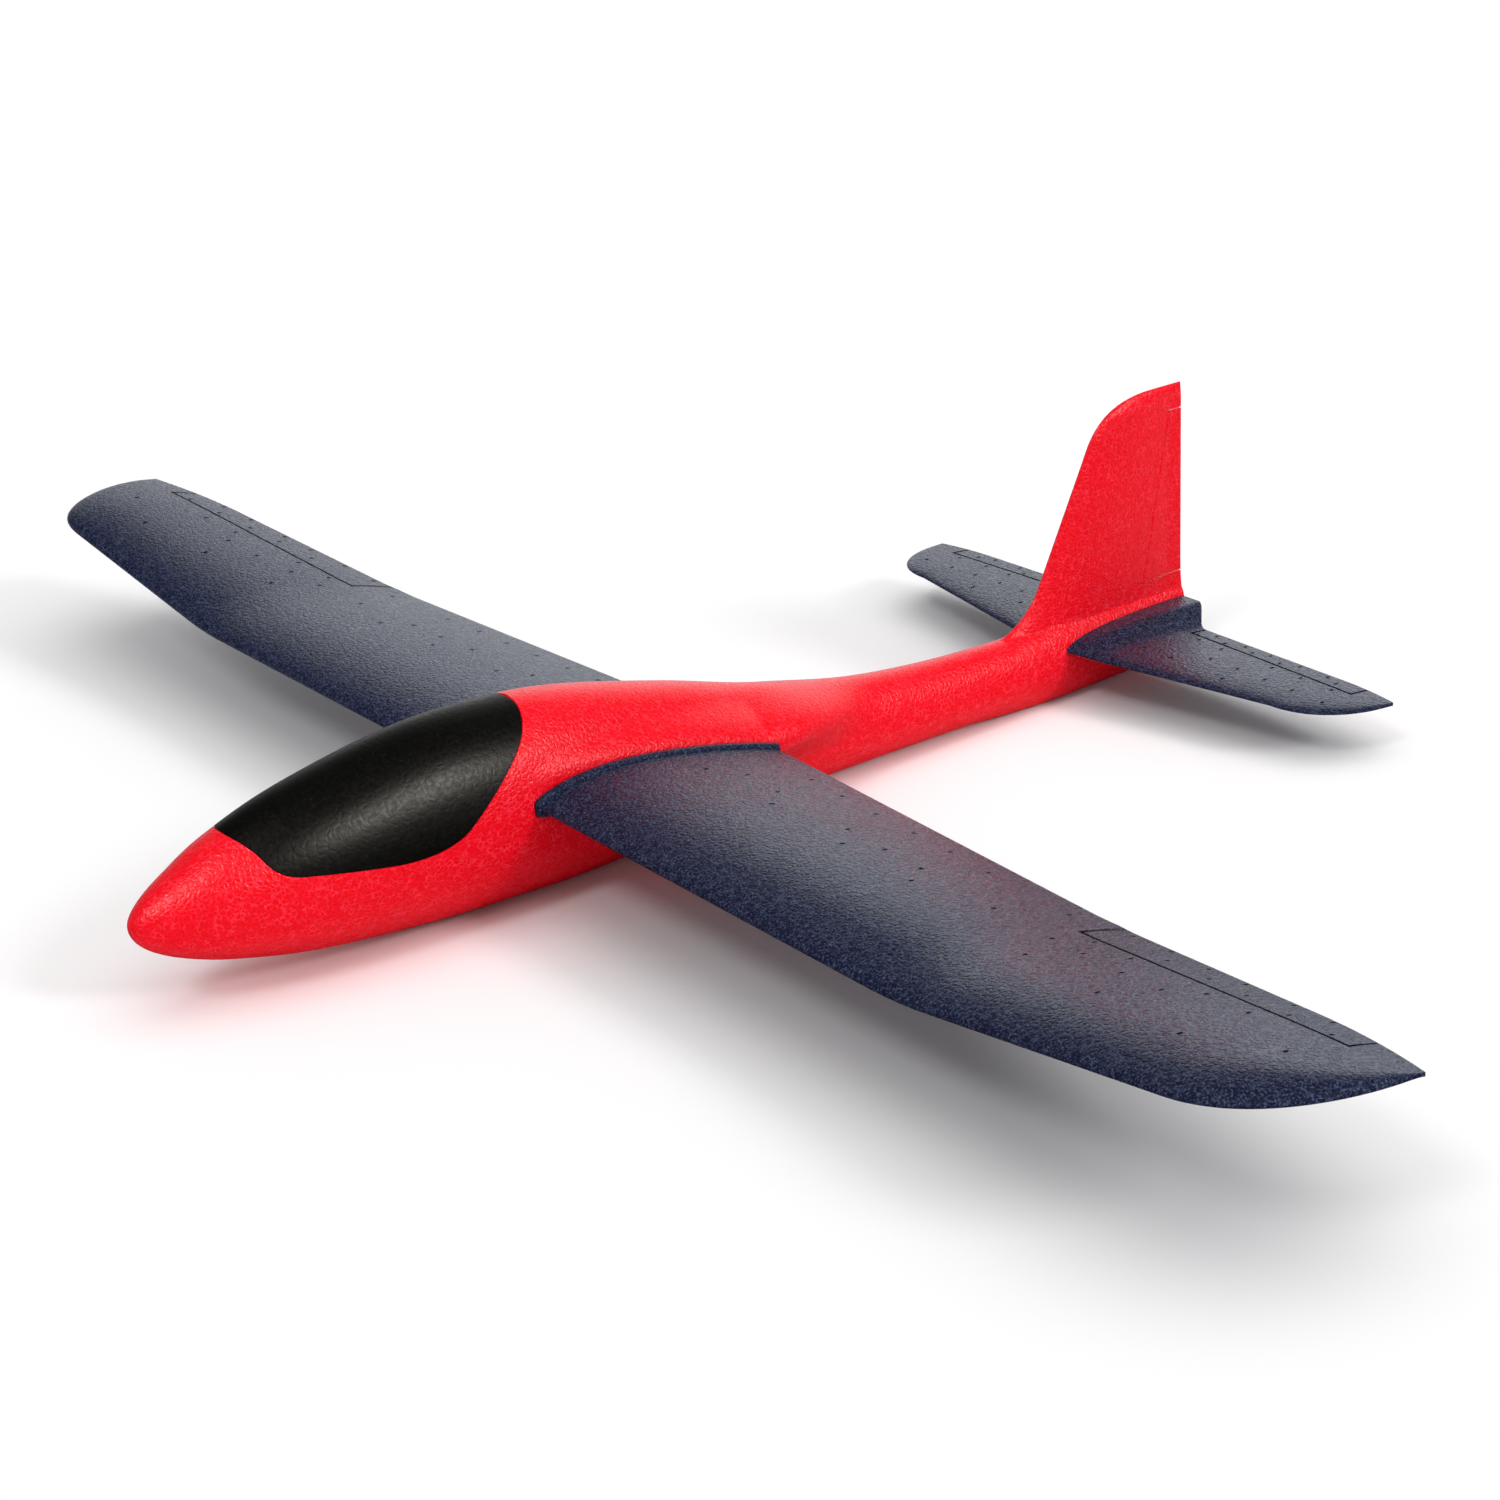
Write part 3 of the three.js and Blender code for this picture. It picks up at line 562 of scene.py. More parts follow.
class Hinge:
    """A straight hinge line from a to b, its web lying depth below the side named by out."""

    def __init__(self, a, b, out, depth, end_gap):
        self.a, self.b, self.end_gap = a, b, end_gap
        self.along = (b - a).normalized()
        self.aft = self.along.cross(out).normalized()
        if self.aft.x < 0:
            self.aft.negate()
        self.up = self.aft.cross(self.along).normalized()
        if self.up.dot(out) < 0:
            self.up.negate()
        self.sunk = -depth * self.up
        self.spanwise = Vector((0, self.along.y, self.along.z)).normalized()

    def run(self, name, profile):
        """A profile carried along the hinge line and well past both ends."""
        ends = (self.a + self.sunk - BEYOND * self.along, self.b + self.sunk + BEYOND * self.along)
        return prism(name, ends, profile, self.aft, self.up)

    def between(self, inset):
        """Everything between the two ends, cut square to the span and inset from each."""
        chordwise = Vector((1, 0, 0))
        across = chordwise.cross(self.spanwise)
        square = [(-BEYOND, -BEYOND), (BEYOND, -BEYOND), (BEYOND, BEYOND), (-BEYOND, BEYOND)]
        ends = (self.a + inset * self.spanwise, self.b - inset * self.spanwise)
        return prism("between", ends, square, chordwise, across)

    def split(self, foam, name, both_sides=False):
        """Cuts the control surface out of a piece of foam and returns it."""
        tall, edge, web = CUT_TALL, HINGE_GAP / 2, WEB_DEPTH / 2
        lean = BEVEL * (tall - web)
        upper = lean if both_sides else 0
        behind = [(edge + lean, -tall), (BEYOND, -tall), (BEYOND, tall)]
        moving = behind + [(edge + upper, tall), (edge, web), (edge, -web)]
        keep = boolean(self.run("moving", moving), self.between(self.end_gap), "INTERSECT")
        surface = boolean(copy_of(foam, name), keep, "INTERSECT")
        pocket = self.run("pocket", [(-edge, -tall), (BEYOND, -tall), (BEYOND, tall), (-edge, tall)])
        boolean(foam, boolean(pocket, self.between(0), "INTERSECT"), "DIFFERENCE")
        return surface

    def web(self, name, skin_at, count=30):
        """The strip that bends along the hinge line, a little let into both sides and under the skin."""
        let_in, columns = 0.15, 7
        reach = HINGE_GAP / 2 + let_in
        steps = np.linspace(-reach, reach, columns).tolist()
        inset = self.end_gap / abs(self.along.dot(self.spanwise))
        rings = []
        for t in np.linspace(0, 1, count).tolist():
            centre = self.a.lerp(self.b, t) + (1 - 2 * t) * inset * self.along
            underside = centre + self.sunk - WEB_DEPTH / 2 * self.up
            floor = [skin_at(centre + c * self.aft) - GROOVE_DEPTH * self.up for c in steps]
            rings.append(floor + [underside + c * self.aft for c in reversed(steps)])
        return loft(name, rings)

    def filled_web(self, name, half_at, dip=0.3, count=40):
        """A web that fills a groove open on both sides almost flush, with a shallow crease along it."""
        rings = []
        edge, let_in, below_skin = HINGE_GAP / 2, 0.1, 0.05
        share = np.linspace(0, 1, 9)
        for t in np.linspace(0, 1, count).tolist():
            centre = self.a.lerp(self.b, t) + (1 - 2 * t) * self.end_gap * self.along
            half = half_at(centre)
            lean = BEVEL * max(half - WEB_DEPTH / 2, 0)
            c = -edge - let_in + share * (2 * (edge + let_in) + lean)
            n = half - dip * np.sin(math.pi * share) ** 0.5 - below_skin
            profile = list(zip(c.tolist(), n.tolist()))
            profile += [(x, -y) for x, y in reversed(profile)]
            rings.append([centre + float(c) * self.aft + float(n) * self.up for c, n in profile])
        return loft(name, rings)

    def is_wall(self, centre, normal):
        """Whether a face lies on a wall of the cut, along the hinge line or at either end."""
        past_a, past_b = (centre - self.a).dot(self.spanwise), (centre - self.b).dot(self.spanwise)
        behind = (centre - self.a - self.sunk).dot(self.aft)
        near_end = min(abs(past_a), abs(past_b)) < self.end_gap + 0.05 and behind > -HINGE_GAP
        near_line = past_a > 0 > past_b and abs(behind) < HINGE_GAP / 2 + 0.02
        faces_out, upright = abs(normal.dot(self.spanwise)) > 0.97, abs(normal.dot(self.up)) < 0.9
        return (near_end and faces_out) or (near_line and upright)

    def bend_points(self):
        """Where the web starts and stops bending, in metres."""
        middle = (self.a + self.b) / 2 + self.sunk
        return (middle - HINGE_GAP / 2 * self.aft) * MM, (middle + HINGE_GAP / 2 * self.aft) * MM


def surface_hinge(skin, dims):
    a, b = (skin_point(skin, dims[end]) for end in ("inner", "outer"))
    return Hinge(a, b, Vector((0, 0, 1)), dims["depth"], dims["end_gap"])


# ---- fuselage pieces ----


def canopy_outline(count=12):
    """Side view of the canopy: down the front, round the chin, along the sill, round the heel and up."""
    (fx, fz), (cx, cz), (hx, hz), (rx, rz) = CANOPY_FRONT, CANOPY_CHIN, CANOPY_HEEL, CANOPY_REAR
    chin = quadratic((cx - 4, cz + 9), (cx, cz), (cx + 14, cz - 1.5), count)
    heel = quadratic((hx - 30, hz + 5), (hx, hz), (hx + 15, hz + 9.5), count)
    rear = quadratic((rx - 16, rz - 20.5), (rx - 2.5, rz - 10), (rx, rz), count)
    front = quadratic((fx, fz), (fx + 8.5, fz - 3.5), (cx - 4, cz + 9), count)
    above = [(rx + 3, CANOPY_TOP), (fx - 3, CANOPY_TOP)]
    return np.vstack([front[:-1], chin, heel, rear, above])


def offset(outline, distance):
    """Moves each corner of an outline outwards."""
    ahead, behind = np.roll(outline, -1, 0), np.roll(outline, 1, 0)
    steps = (outline - behind, ahead - outline)
    before, after = (step / np.linalg.norm(step, axis=1)[:, None] for step in steps)
    area = np.sum(outline[:, 0] * ahead[:, 1] - ahead[:, 0] * outline[:, 1])
    turn = np.sign(area) * np.array([1, -1])
    out = (before + after)[:, ::-1] * turn
    return outline + out * (2 * distance / np.sum(out**2, 1))[:, None]


def canopy_piece():
    canopy = fuselage_skin("canopy_foam", body_stations(*CANOPY_RUN, 2), BODY_SIDES)
    boolean(canopy, slab("outline", canopy_outline(), ACROSS), "INTERSECT")
    sill, magnet_top = CANOPY_HEEL[1], MAGNET_LID_Z + MAGNET_HEIGHT
    magnet = bar("magnet", "z", sill - 8, magnet_top + GAP, MAGNET_RADIUS + GAP, (MAGNET_X, 0))
    notch = bar("notch", "y", -NOTCH_HALF, NOTCH_HALF, NOTCH_RADIUS, (NOTCH_X, NOTCH_Z))
    return cut(canopy, [box("bay", *BAY), magnet, notch])


def wing_seat():
    """The shallow seat pressed into the right flank round the wing root."""
    ends = np.array([WING_ROOT - GAP, WING_ROOT + 20])
    root = np.full(2, WING_ROOT)
    rings = section_rings(wing_points, root, LIP_HEIGHT + GAP)
    rings[:, :, 1] = ends[:, None]
    return loft("seat", rings)


def hull_pieces(body):
    """Cuts the openings into the fuselage and the rudder out of its fin; returns rudder and hinge."""
    seat = wing_seat()
    cuts = [
        slab("recess", offset(canopy_outline(), GAP), ACROSS),
        box("bay", *BAY),
        bar("magnet", "z", MAGNET_SEAT_Z - GAP, BAY[2][1], MAGNET_RADIUS + GAP, (MAGNET_X, 0)),
        bar("weight", "x", WEIGHT_FRONT - GAP, BAY[0][0] + 1, WEIGHT_RADIUS + GAP, (0, WEIGHT_Z)),
        box("slot", grown(TONGUE[0]), ACROSS, grown(TONGUE[2])),
        bar("joiner", "y", *ACROSS, JOINER_RADIUS + GAP, (SPAR_X, SPAR_Z)),
        box("tail_slot", grown(TAIL_TONGUE[0]), ACROSS, grown(TAIL_TONGUE[2])),
        bar("tail_joiner", "y", *ACROSS, TAIL_ROD_RADIUS + GAP, (TAIL_ROD_X, TAIL_ROD_Z)),
    ]
    cut(body, cuts)
    boolean(body, mirrored(seat, "seat_left"), "DIFFERENCE")
    boolean(body, seat, "DIFFERENCE")
    (lx, lz), (ux, uz) = RUDDER["lower"], RUDDER["upper"]
    hinge = Hinge(Vector((lx, 0, lz)), Vector((ux, 0, uz)), Vector((0, 1, 0)), 0, RUDDER["end_gap"])
    rudder = hinge.split(body, "rudder_foam", both_sides=True)
    return rudder, hinge


def grown(low_high):
    return (low_high[0] - GAP, low_high[1] + GAP)


# A web's object and hinge, the names of the bodies it bends between, and its own node.
Web = namedtuple("Web", "made hinge fixed moving node")


def build_shapes():
    """Every foam piece, by name, and the hinge webs."""
    whole = fuselage_skin("fuselage_foam", body_stations(NOSE_X, FIN_TRAIL_X, BODY_STEP), BODY_SIDES)
    tail_end = body_stations(GROWN_FROM, FIN_TRAIL_X, BODY_STEP)
    grown_tail = fuselage_skin("grown", tail_end, BODY_SIDES, GAP)
    rudder, rudder_hinge = hull_pieces(whole)
    pieces = {"fuselage": whole, "rudder": rudder, "canopy": canopy_piece()}
    half_at = lambda point: float(fin_half(np.array(point.x), np.array(point.z)))
    rudder_web = rudder_hinge.filled_web("rudder_web", half_at)
    webs = [Web(rudder_web, rudder_hinge, "fuselage", "rudder", "rudder_hinge")]

    wing, tail = wing_half(), tail_half(grown_tail)
    discard(grown_tail)
    aileron_hinge = surface_hinge(WING_SKIN, AILERON)
    elevator_hinge = surface_hinge(TAIL_SKIN, ELEVATOR)
    right = {
        "wing": wing,
        "aileron": aileron_hinge.split(wing, "aileron_right_foam"),
        "tailplane": tail,
        "elevator": elevator_hinge.split(tail, "elevator_right_foam"),
    }
    # The walls of each hinge cut get painted shade: the dark groove material as their second one.
    for name, made in right.items():
        paint_wall_shade(made, aileron_hinge if name in ("wing", "aileron") else elevator_hinge)
        pieces[name + "_right"] = made
        pieces[name + "_left"] = mirrored(made, name + "_left_foam")
    for hinge, fixed, moving, skin in (
        (aileron_hinge, "wing", "aileron", WING_SKIN),
        (elevator_hinge, "tailplane", "elevator", TAIL_SKIN),
    ):
        web = hinge.web(moving + "_web_right", lambda p: skin_point(skin, (p.x, p.y)))
        for side, made in (("right", web), ("left", mirrored(web, moving + "_web_left"))):
            bodies = (f"{fixed}_{side}", f"{moving}_{side}", f"{moving}_hinge_{side}")
            webs.append(Web(made, hinge, *bodies))
    return pieces, webs


def flipped(point):
    """The point on the other side of the symmetry plane."""
    return Vector((point.x, -point.y, point.z))


def place_shapes(pieces, webs):
    """Lets each piece ride on its body in the frame and stand for its node there."""
    for name, made in pieces.items():
        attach(made, name)
        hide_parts(name)
        smooth(made)
    for web in webs:
        start, end = web.hinge.bend_points()
        if web.moving.endswith("left"):
            start, end = flipped(start), flipped(end)
        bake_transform(web.made)
        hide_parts(web.node)
        smooth(web.made)


# ---- small marks ----

VENT_LENGTH, VENT_WIDTH, VENT_HEIGHT = 3.0, 1.5, 0.12
VENT_SPACING, TAIL_SPACING = 27.0, 20.0
VENT_SHARE = 0.8  # share of the places in a row that have a mark
STRAY_Y, STRAY_X = 2.0, 0.8  # how far a mark may stray from its place


def vent(skin, y, from_trail):
    """Rings of one moulding mark: a low oval dome at span y, from_trail ahead of the trailing edge."""
    lead, trail = (float(edge[0]) for edge in skin.edges(np.array([y]))[:2])
    chord = trail - lead
    u = 1 - from_trail / chord
    here, aft, out = (
        skin.points(np.array([y + dy]), np.array([u + du]), True)[0, 0]
        for dy, du in ((0, 0), (0, 1 / chord), (1, 0))
    )
    chordwise, spanwise = aft - here, out - here
    normal = np.cross(chordwise, spanwise)
    normal /= np.linalg.norm(normal)
    angle = np.linspace(0, 2 * math.pi, 14, endpoint=False)[:, None]
    oval = VENT_LENGTH / 2 * np.cos(angle) * chordwise + VENT_WIDTH / 2 * np.sin(angle) * spanwise
    rings = ((1, -0.5), (1, 0.04), (0.6, VENT_HEIGHT))
    return [here + size * oval + normal * lift for size, lift in rings]


def vents(name, skin, places):
    """Marks at several places (y, distance ahead of the trailing edge) as one object."""
    return joined([loft("vent", vent(skin, y, distance)) for y, distance in places], name)


def rows_of_vents(rows, rng):
    """Places (y, distance ahead of the trailing edge) along the rows, with some left out."""
    places = []
    for distance, first, last, step in rows:
        for y in np.arange(first, last, step):
            if rng.random() < VENT_SHARE:
                stray_y, stray_x = rng.uniform(-STRAY_Y, STRAY_Y), rng.uniform(-STRAY_X, STRAY_X)
                places.append((y + stray_y, distance + stray_x))
    return places


# Rows of marks: distance ahead of the trailing edge, first y, last y, step.
WING_VENT_ROWS = (
    (15, 90, 290, VENT_SPACING),
    (45, 78, 290, VENT_SPACING),
    (59, 64, 300, 2 * VENT_SPACING),
    (30, 318, 470, VENT_SPACING),
    (45, 304, 470, VENT_SPACING),
    (68, 318, 450, 2 * VENT_SPACING),
)
AILERON_VENT_ROWS = ((3.4, 312, 465, VENT_SPACING), (15, 326, 466, VENT_SPACING))
TAIL_VENT_ROWS = ((17, 46, 156, TAIL_SPACING), (34, 56, 160, TAIL_SPACING), (50, 40, 110, TAIL_SPACING))
ELEVATOR_VENT_ROWS = ((3.2, 50, 150, TAIL_SPACING), (8.5, 60, 150, TAIL_SPACING))

# The line beside each end of the ailerons and elevators: a strip of dark painted shade, standing for the
# shadow in the end gap, that barely stands out of the skin.
LINE_WIDTH, LINE_HEIGHT, LINE_EDGE, LINE_SINK = 1.0, 0.08, 0.03, 0.4


def end_gap_shade_line(skin, y, hinge_x):
    """A dark strip of painted shade beside one end of a control surface, running aft from just ahead of
    its hinge.
    """
    lead, trail = (float(edge[0]) for edge in skin.edges(np.array([y]))[:2])
    shares = np.linspace((hinge_x - 1 - lead) / (trail - lead), 0.995, 12)
    half = LINE_WIDTH / 2
    left, right = ((-half, -LINE_SINK), (-half, LINE_EDGE)), ((half, LINE_EDGE), (half, -LINE_SINK))
    profile = (*left, (0, LINE_HEIGHT), *right)
    rings = []
    for u in shares:
        on_skin = [skin.points(np.array([y + dy]), np.array([u]), True)[0, 0] for dy, lift in profile]
        rings.append([place + (0, 0, lift) for place, (dy, lift) in zip(on_skin, profile)])
    return loft("line", rings)


def ride_mirrored(right, body):
    """Lets an object ride on the right body and its mirror image on the left; returns both."""
    left = mirrored(right, right.name.replace("_right", "_left"))
    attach(right, body + "_right")
    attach(left, body + "_left")
    return [right, left]


def end_gap_shade_lines(name, skin, dims):
    """The painted-shade lines beside both ends of one control surface as one object."""
    (inner_x, inner_y), (outer_x, outer_y) = dims["inner"], dims["outer"]
    half = LINE_WIDTH / 2
    ends = ((inner_y - half, inner_x), (outer_y + half, outer_x))
    return joined([end_gap_shade_line(skin, y, x) for y, x in ends], name)


def add_end_gap_shade_lines():
    """Painted-shade lines beside both ends of the ailerons and elevators; returns the objects made."""
    made = []
    for name, skin, dims in (("wing", WING_SKIN, AILERON), ("tailplane", TAIL_SKIN, ELEVATOR)):
        made += ride_mirrored(end_gap_shade_lines(name + "_lines_right", skin, dims), name)
    return made


def add_vents(rng):
    """The moulding marks on the navy pieces, dressed near-black as painted shade standing for the dimple
    of each; returns the objects made.
    """
    made = []
    for name, skin, rows in (
        ("wing", WING_SKIN, WING_VENT_ROWS),
        ("aileron", WING_SKIN, AILERON_VENT_ROWS),
        ("tailplane", TAIL_SKIN, TAIL_VENT_ROWS),
        ("elevator", TAIL_SKIN, ELEVATOR_VENT_ROWS),
    ):
        places = rows_of_vents(rows, rng)
        made += ride_mirrored(vents(name + "_vents_right", skin, places), name)
    for marks in made:
        smooth(marks, 60)
    return made


# ---- looks ----


class Nodes:
    """A node tree whose nodes are added one at a time."""

    def __init__(self, owner):
        owner.use_nodes = True
        self.tree = owner.node_tree

    def add(self, kind, settings=None, **inputs):
        made = self.tree.nodes.new("ShaderNode" + kind)
        for key, value in (settings or {}).items():
            setattr(made, key, value)
        for key, value in inputs.items():
            self.feed(made.inputs[key.replace("_", " ")], value)
        return made

    def feed(self, socket, value):
        if isinstance(value, bpy.types.NodeSocket):
            self.tree.links.new(value, socket)
        else:
            socket.default_value = value

    def two_inputs(self, kind, operation, a, b):
        made = self.add(kind, {"operation": operation})
        self.feed(made.inputs[0], a)
        self.feed(made.inputs[1], b)
        return made

    def along(self, vector, direction):
        """How far a vector reaches in a direction."""
        return self.two_inputs("VectorMath", "DOT_PRODUCT", vector, direction).outputs["Value"]

    def spread(self, value, low, high, to_low=0.0, to_high=1.0):
        """Carries the run of values from low to high smoothly over to to_low to to_high."""
        made = self.add("MapRange", {"interpolation_type": "SMOOTHSTEP"}, Value=value)
        ends = {"From Min": low, "From Max": high, "To Min": to_low, "To Max": to_high}
        for key, number in ends.items():
            self.feed(made.inputs[key], number)
        return made.outputs["Result"]

    def math(self, operation, a, b):
        return self.two_inputs("Math", operation, a, b).outputs[0]

    def mix(self, share, a, b):
        made = self.add("Mix", {"data_type": "RGBA"})
        for index, value in ((0, share), (6, a), (7, b)):
            self.feed(made.inputs[index], value)
        return made.outputs[2]


class Look(Nodes):
    """A material, with coordinates in the part's own frame."""

    def __init__(self, name):
        self.material = bpy.data.materials.new(name)
        super().__init__(self.material)
        self.shader = self.tree.nodes["Principled BSDF"]
        self.place = self.add("TexCoord").outputs["Object"]

    def noise(self, scale, detail=2.0, place=None):
        made = self.add("TexNoise", Vector=place or self.place, Scale=scale, Detail=detail)
        return made.outputs["Fac"]

    def warped(self, scale, amount):
        """The coordinates, pushed about by noise."""
        noise = self.add("TexNoise", Vector=self.place, Scale=scale, Detail=1.0).outputs["Color"]
        centred = self.two_inputs("VectorMath", "SUBTRACT", noise, (0.5, 0.5, 0.5)).outputs[0]
        push = self.two_inputs("VectorMath", "MULTIPLY", centred, (amount, amount, amount)).outputs[0]
        return self.two_inputs("VectorMath", "ADD", self.place, push).outputs[0]

    def cells(self, scale, place):
        """The distance to the nearest border between cells."""
        made = self.add("TexVoronoi", {"feature": "DISTANCE_TO_EDGE"}, Vector=place, Scale=scale)
        return made.outputs["Distance"]

    def grazing(self, low, high, to_low, to_high):
        """A value that rises where the surface is seen at a low angle."""
        facing = self.add("LayerWeight", Blend=0.5).outputs["Facing"]
        return self.spread(facing, low, high, to_low, to_high)

    def finish(self, colour, roughness, specular=0.5, height=None, relief=0.0, metallic=0.0):
        shader = self.shader
        self.feed(shader.inputs["Base Color"], colour)
        self.feed(shader.inputs["Roughness"], roughness)
        self.feed(shader.inputs["Specular IOR Level"], specular)
        self.feed(shader.inputs["Metallic"], metallic)
        if height is not None:
            bump = self.add("Bump", Strength=1.0, Distance=relief, Height=height)
            self.feed(shader.inputs["Normal"], bump.outputs["Normal"])
        return self.material


def rgb(red, green, blue):
    """A colour given as it looks on screen, 0 to 255, in linear light."""
    shares = [c / 255 for c in (red, green, blue)]
    linear = [((c + 0.055) / 1.055) ** 2.4 if c > 0.04 else c / 12.92 for c in shares]
    return (*linear, 1.0)


def bead_relief(look, scale, place, grain=0.35, grain_scale=2600):
    """The moulded beads: distance to the nearest seam, and a height of low domes with a fine grain."""
    edge = look.cells(scale, place)
    dome = look.spread(edge, 0.0, 0.28)
    fine = look.noise(grain_scale, 2.0)
    return edge, look.math("ADD", dome, look.math("MULTIPLY", fine, grain))


def red_foam():
    look = Look("red_foam")
    place = look.warped(420, 0.0016)
    edge, height = bead_relief(look, 400, place)
    seam = look.spread(edge, 0.02, 0.11, 1.0, 0.0)
    worn = look.spread(look.noise(260, 2.0), 0.42, 0.62, 0.08, 0.62)
    flecks = look.spread(look.noise(620, 3.0), 0.58, 0.66)
    base = look.mix(look.noise(170, 3.0), rgb(230, 0, 16), rgb(243, 0, 28))
    veined = look.mix(look.math("MULTIPLY", seam, worn), base, rgb(255, 58, 80))
    colour = look.mix(look.math("MULTIPLY", flecks, 0.26), veined, rgb(255, 70, 94))
    rough = look.spread(look.noise(700, 2.0), 0.3, 0.7, 0.27, 0.37)
    return look.finish(colour, rough, look.grazing(0.3, 0.62, 0.1, 0.48), height, 0.00012)


def navy_foam():
    look = Look("navy_foam")
    place = look.warped(420, 0.0018)
    edge, height = bead_relief(look, 300, place, 1.6, 950)
    seam = look.spread(edge, 0.02, 0.12, 1.0, 0.0)
    fibres = look.spread(look.noise(1050, 3.0), 0.52, 0.64)
    mottle = look.noise(420, 3.0)
    base = look.mix(mottle, rgb(13, 16, 35), rgb(29, 34, 61))
    speckled = look.mix(look.math("MULTIPLY", fibres, 0.38), base, rgb(100, 110, 138))
    worn = look.spread(look.noise(240, 2.0), 0.42, 0.62, 0.0, 0.16)
    veined = look.mix(look.math("MULTIPLY", seam, worn), speckled, rgb(108, 120, 152))
    rough = look.spread(mottle, 0.3, 0.7, 0.24, 0.34)
    look.feed(look.shader.inputs["Specular Tint"], rgb(208, 226, 255))
    return look.finish(veined, rough, look.grazing(0.47, 0.72, 0.05, 0.62), height, 0.00025)


def black_foam():
    look = Look("black_foam")
    place = look.warped(300, 0.002)
    height = bead_relief(look, 240, place)[1]
    specks = look.spread(look.noise(800, 3.0), 0.6, 0.72)
    base = look.mix(look.noise(200, 2.0), rgb(4, 4, 3), rgb(10, 10, 8))
    colour = look.mix(look.math("MULTIPLY", specks, 0.16), base, rgb(66, 64, 56))
    rough = look.spread(look.noise(500, 2.0), 0.3, 0.7, 0.32, 0.42)
    look.feed(look.shader.inputs["Specular Tint"], rgb(255, 249, 238))
    return look.finish(colour, rough, 0.1, height, 0.00003)


def dark_foam(name, dark, light):
    """A flat dark navy of painted shade, for a hinge groove, an end gap or a moulding mark."""
    look = Look(name)
    return look.finish(look.mix(look.noise(1500, 2.0), dark, light), 0.9, 0.0)


def carbon_rod():
    """Pultruded rod: fine grain drawn out along the span."""
    look = Look("carbon_rod")
    drawn = look.add("Mapping", Vector=look.place)
    look.feed(drawn.inputs["Scale"], (1.0, 0.02, 1.0))
    grain = look.noise(2500, 3.0, drawn.outputs[0])
    colour = look.mix(grain, rgb(16, 16, 18), rgb(58, 59, 63))
    rough = look.spread(grain, 0.3, 0.7, 0.28, 0.42)
    return look.finish(colour, rough, 0.5, grain, 0.00005)


def metal(name, dark, light, rough_low, rough_high):
    look = Look(name)
    grain = look.noise(900, 4.0)
    colour = look.mix(grain, dark, light)
    rough = look.spread(grain, 0.3, 0.7, rough_low, rough_high)
    return look.finish(colour, rough, 0.5, grain, 0.00003, 1.0)


def dress(made, slot, *materials):
    """Gives an object its materials, keeping which face has which; slot is not used."""
    chosen = [polygon.material_index for polygon in made.data.polygons]
    made.data.materials.clear()
    for material in materials:
        made.data.materials.append(material)
    made.data.polygons.foreach_set("material_index", chosen)


def paint(pieces, webs, marks):
    """Gives every visible piece its material."""
    red, navy, black, carbon = red_foam(), navy_foam(), black_foam(), carbon_rod()
    # Painted shade for the walls of the hinge cuts and for the aileron and elevator webs.
    painted_groove_shade = dark_foam("navy_painted_groove_shade", rgb(4, 5, 10), rgb(12, 14, 24))
    # Painted shade for the moulding marks and for the lines at the ends of the control surfaces.
    dark = dark_foam("navy_painted_mark_shade", rgb(6, 7, 13), rgb(18, 20, 31))
    for name, made in pieces.items():
        if name in ("fuselage", "rudder"):
            dress(made, "red_foam", red)
        elif name == "canopy":
            dress(made, "black_foam", black)
        else:
            # The second material is painted shade on the walls of the hinge cuts.
            dress(made, "navy_foam", navy, painted_groove_shade)
    for web in webs:
        if web.moving == "rudder":
            dress(web.made, "red_foam", red)
        else:
            # The aileron and elevator webs are painted shade: all dark groove material.
            dress(web.made, "navy_foam", painted_groove_shade)
    # Each moulding mark and end line is near-black painted shade.
    for made in marks:
        dress(made, "navy_foam", dark)
    nickel = metal("magnet_nickel", rgb(150, 150, 152), rgb(205, 205, 206), 0.18, 0.32)
    steel = metal("nose_steel", rgb(96, 98, 100), rgb(160, 162, 165), 0.25, 0.45)
    rods = ("wing_joiner", "tail_joiner", "wing_spar_right", "wing_spar_left")
    inner = {name: ("carbon_rod", carbon) for name in rods}
    inner |= {name: ("magnet", nickel) for name in ("seat_magnet", "canopy_magnet")}
    inner |= {"nose_weight": ("steel", steel), "nose_weight_plug": ("red_foam", red)}
    for name, (slot, material) in inner.items():
        dress(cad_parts[name], slot, material)
        smooth(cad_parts[name], 40)


# ---- studio ----

# The camera's place and target, in metres, and its lens in millimetres.
CAMERA_PLACE = Vector((-0.7262, -1.14817, 0.6306))
CAMERA_TARGET = Vector((0.09252, -0.02306, 0.0422))
CAMERA_ROLL, CAMERA_LENS = math.radians(-3.227), 72.82
FAR_SIDE = Vector((0.588, 0.808, 0.0))  # level, away from the camera
GLOW_SIDE = Vector((0.866, 0.5, 0.0))  # where the reflected glow is brightest, behind the tail


def add_floor():
    """Pale paper, much darker in reflections, and darkest on the near side."""
    side = 8000.0
    corners = [(-side, -side, 0), (side, -side, 0), (side, side, 0), (-side, side, 0)]
    floor = new_object("floor", corners, [(0, 1, 2, 3)])
    look = Look("floor_paper")
    tone = look.mix(look.noise(3.0, 2.0), rgb(246, 246, 247), rgb(250, 250, 250))
    distance = look.spread(look.along(look.place, FAR_SIDE), 0.0, 0.7)
    reflected = look.mix(distance, rgb(52, 53, 58), rgb(220, 222, 227))
    colour = look.mix(look.add("LightPath").outputs["Is Glossy Ray"], tone, reflected)
    floor.data.materials.append(look.finish(colour, 0.9, 0.1))


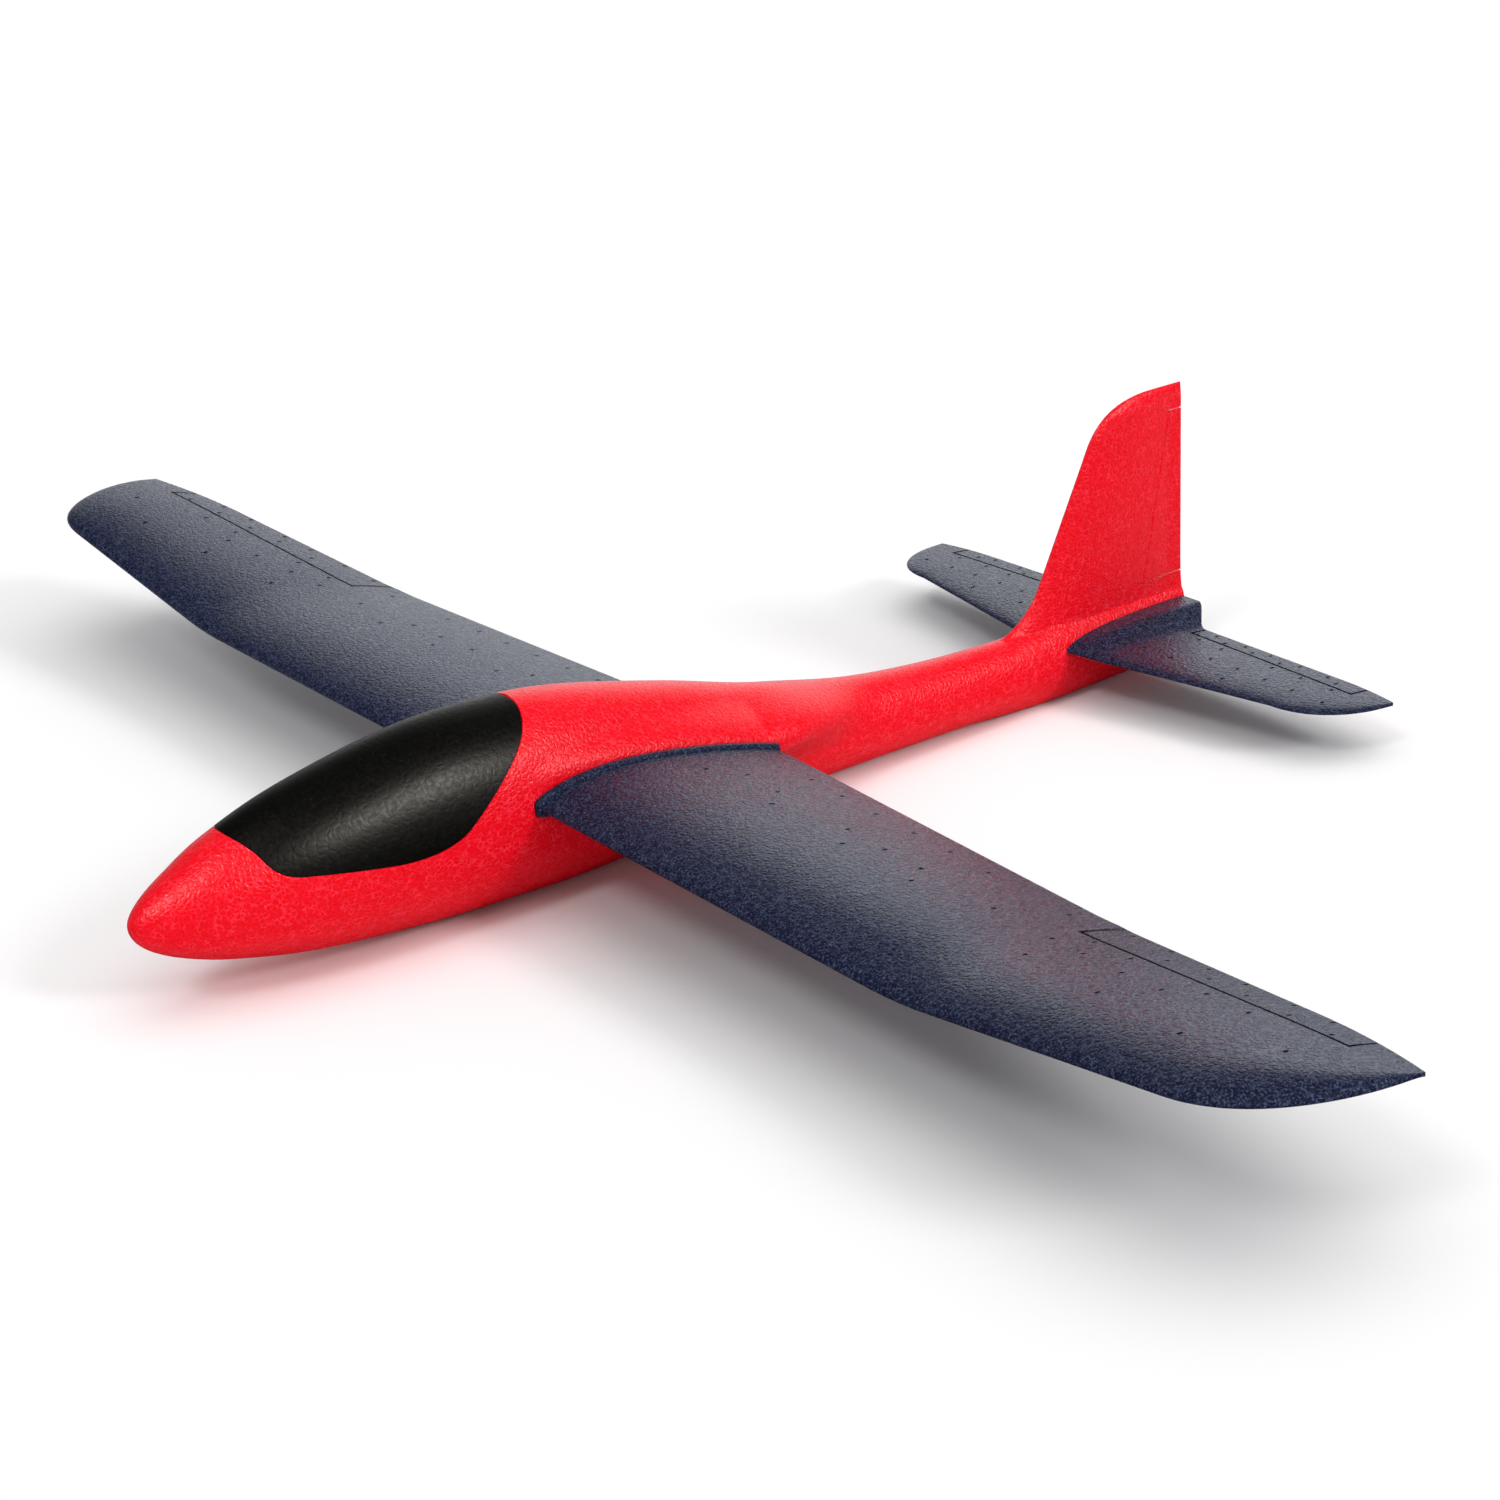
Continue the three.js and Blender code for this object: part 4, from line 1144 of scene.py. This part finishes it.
def add_world(ambient=0.5):
    """White to the eye, dimmer as a light, and in reflections bright only round GLOW_SIDE."""
    world = bpy.data.worlds.new("studio")
    bpy.context.scene.world = world
    nodes = Nodes(world)
    world.cycles.sampling_method = "NONE"  # so that every ray to the world knows what kind it is
    background = nodes.tree.nodes["Background"]
    nodes.feed(background.inputs["Color"], (1, 1, 1, 1))
    direction = nodes.add("TexCoord").outputs["Generated"]
    glow = nodes.spread(nodes.along(direction, GLOW_SIDE), 0.55, 1.0, 0.02, 1.4)
    rays = nodes.add("LightPath")
    strength = 1.0
    for ray, level in (("Is Diffuse Ray", ambient), ("Is Glossy Ray", glow)):
        choose = nodes.add("Mix", Factor=rays.outputs[ray], A=strength, B=level)
        strength = choose.outputs["Result"]
    nodes.feed(background.inputs["Strength"], strength)


def add_light(name, direction, spread, power, diffuse=True, glossy=True):
    """A soft sun from a direction, spread over an angle in degrees, for the kinds of ray asked for."""
    light = bpy.data.lights.new(name, "SUN")
    light.angle, light.energy = math.radians(spread), power
    lamp = bpy.data.objects.new(name, light)
    lamp.visible_diffuse, lamp.visible_glossy = diffuse, glossy
    lamp.rotation_euler = (-Vector(direction)).to_track_quat("-Z", "Y").to_euler()
    bpy.context.scene.collection.objects.link(lamp)


def add_camera():
    camera = bpy.data.objects.new("camera", bpy.data.cameras.new("camera"))
    camera.data.lens, camera.data.sensor_width = CAMERA_LENS, 36.0
    camera.data.clip_start, camera.data.clip_end = 0.02, 30.0
    aim = (CAMERA_TARGET - CAMERA_PLACE).to_track_quat("-Z", "Y").to_matrix().to_4x4()
    camera.matrix_world = Matrix.Translation(CAMERA_PLACE) @ aim @ Matrix.Rotation(CAMERA_ROLL, 4, "Z")
    bpy.context.scene.collection.objects.link(camera)
    bpy.context.scene.camera = camera


def add_studio():
    """Floor, world and camera, with separate suns for the shading and for the highlights."""
    add_floor()
    add_world()
    side, front, above = (0.33, -0.78, 0.52), (-0.57, -0.19, 0.73), (0.1, -0.2, 0.95)
    add_light("side", side, 14, 0.9, glossy=False)
    add_light("front", front, 14, 0.5, glossy=False)
    add_light("above", above, 70, 1.1, glossy=False)
    add_light("side_glint", side, 18, 4.4, diffuse=False)
    add_light("front_glint", front, 18, 4.4, diffuse=False)
    bpy.context.scene.view_settings.view_transform = "Standard"
    add_camera()


# ---- everything ----

pieces, webs = build_shapes()
place_shapes(pieces, webs)
marks = add_vents(np.random.default_rng(11)) + add_end_gap_shade_lines()
paint(pieces, webs, marks)
add_studio()
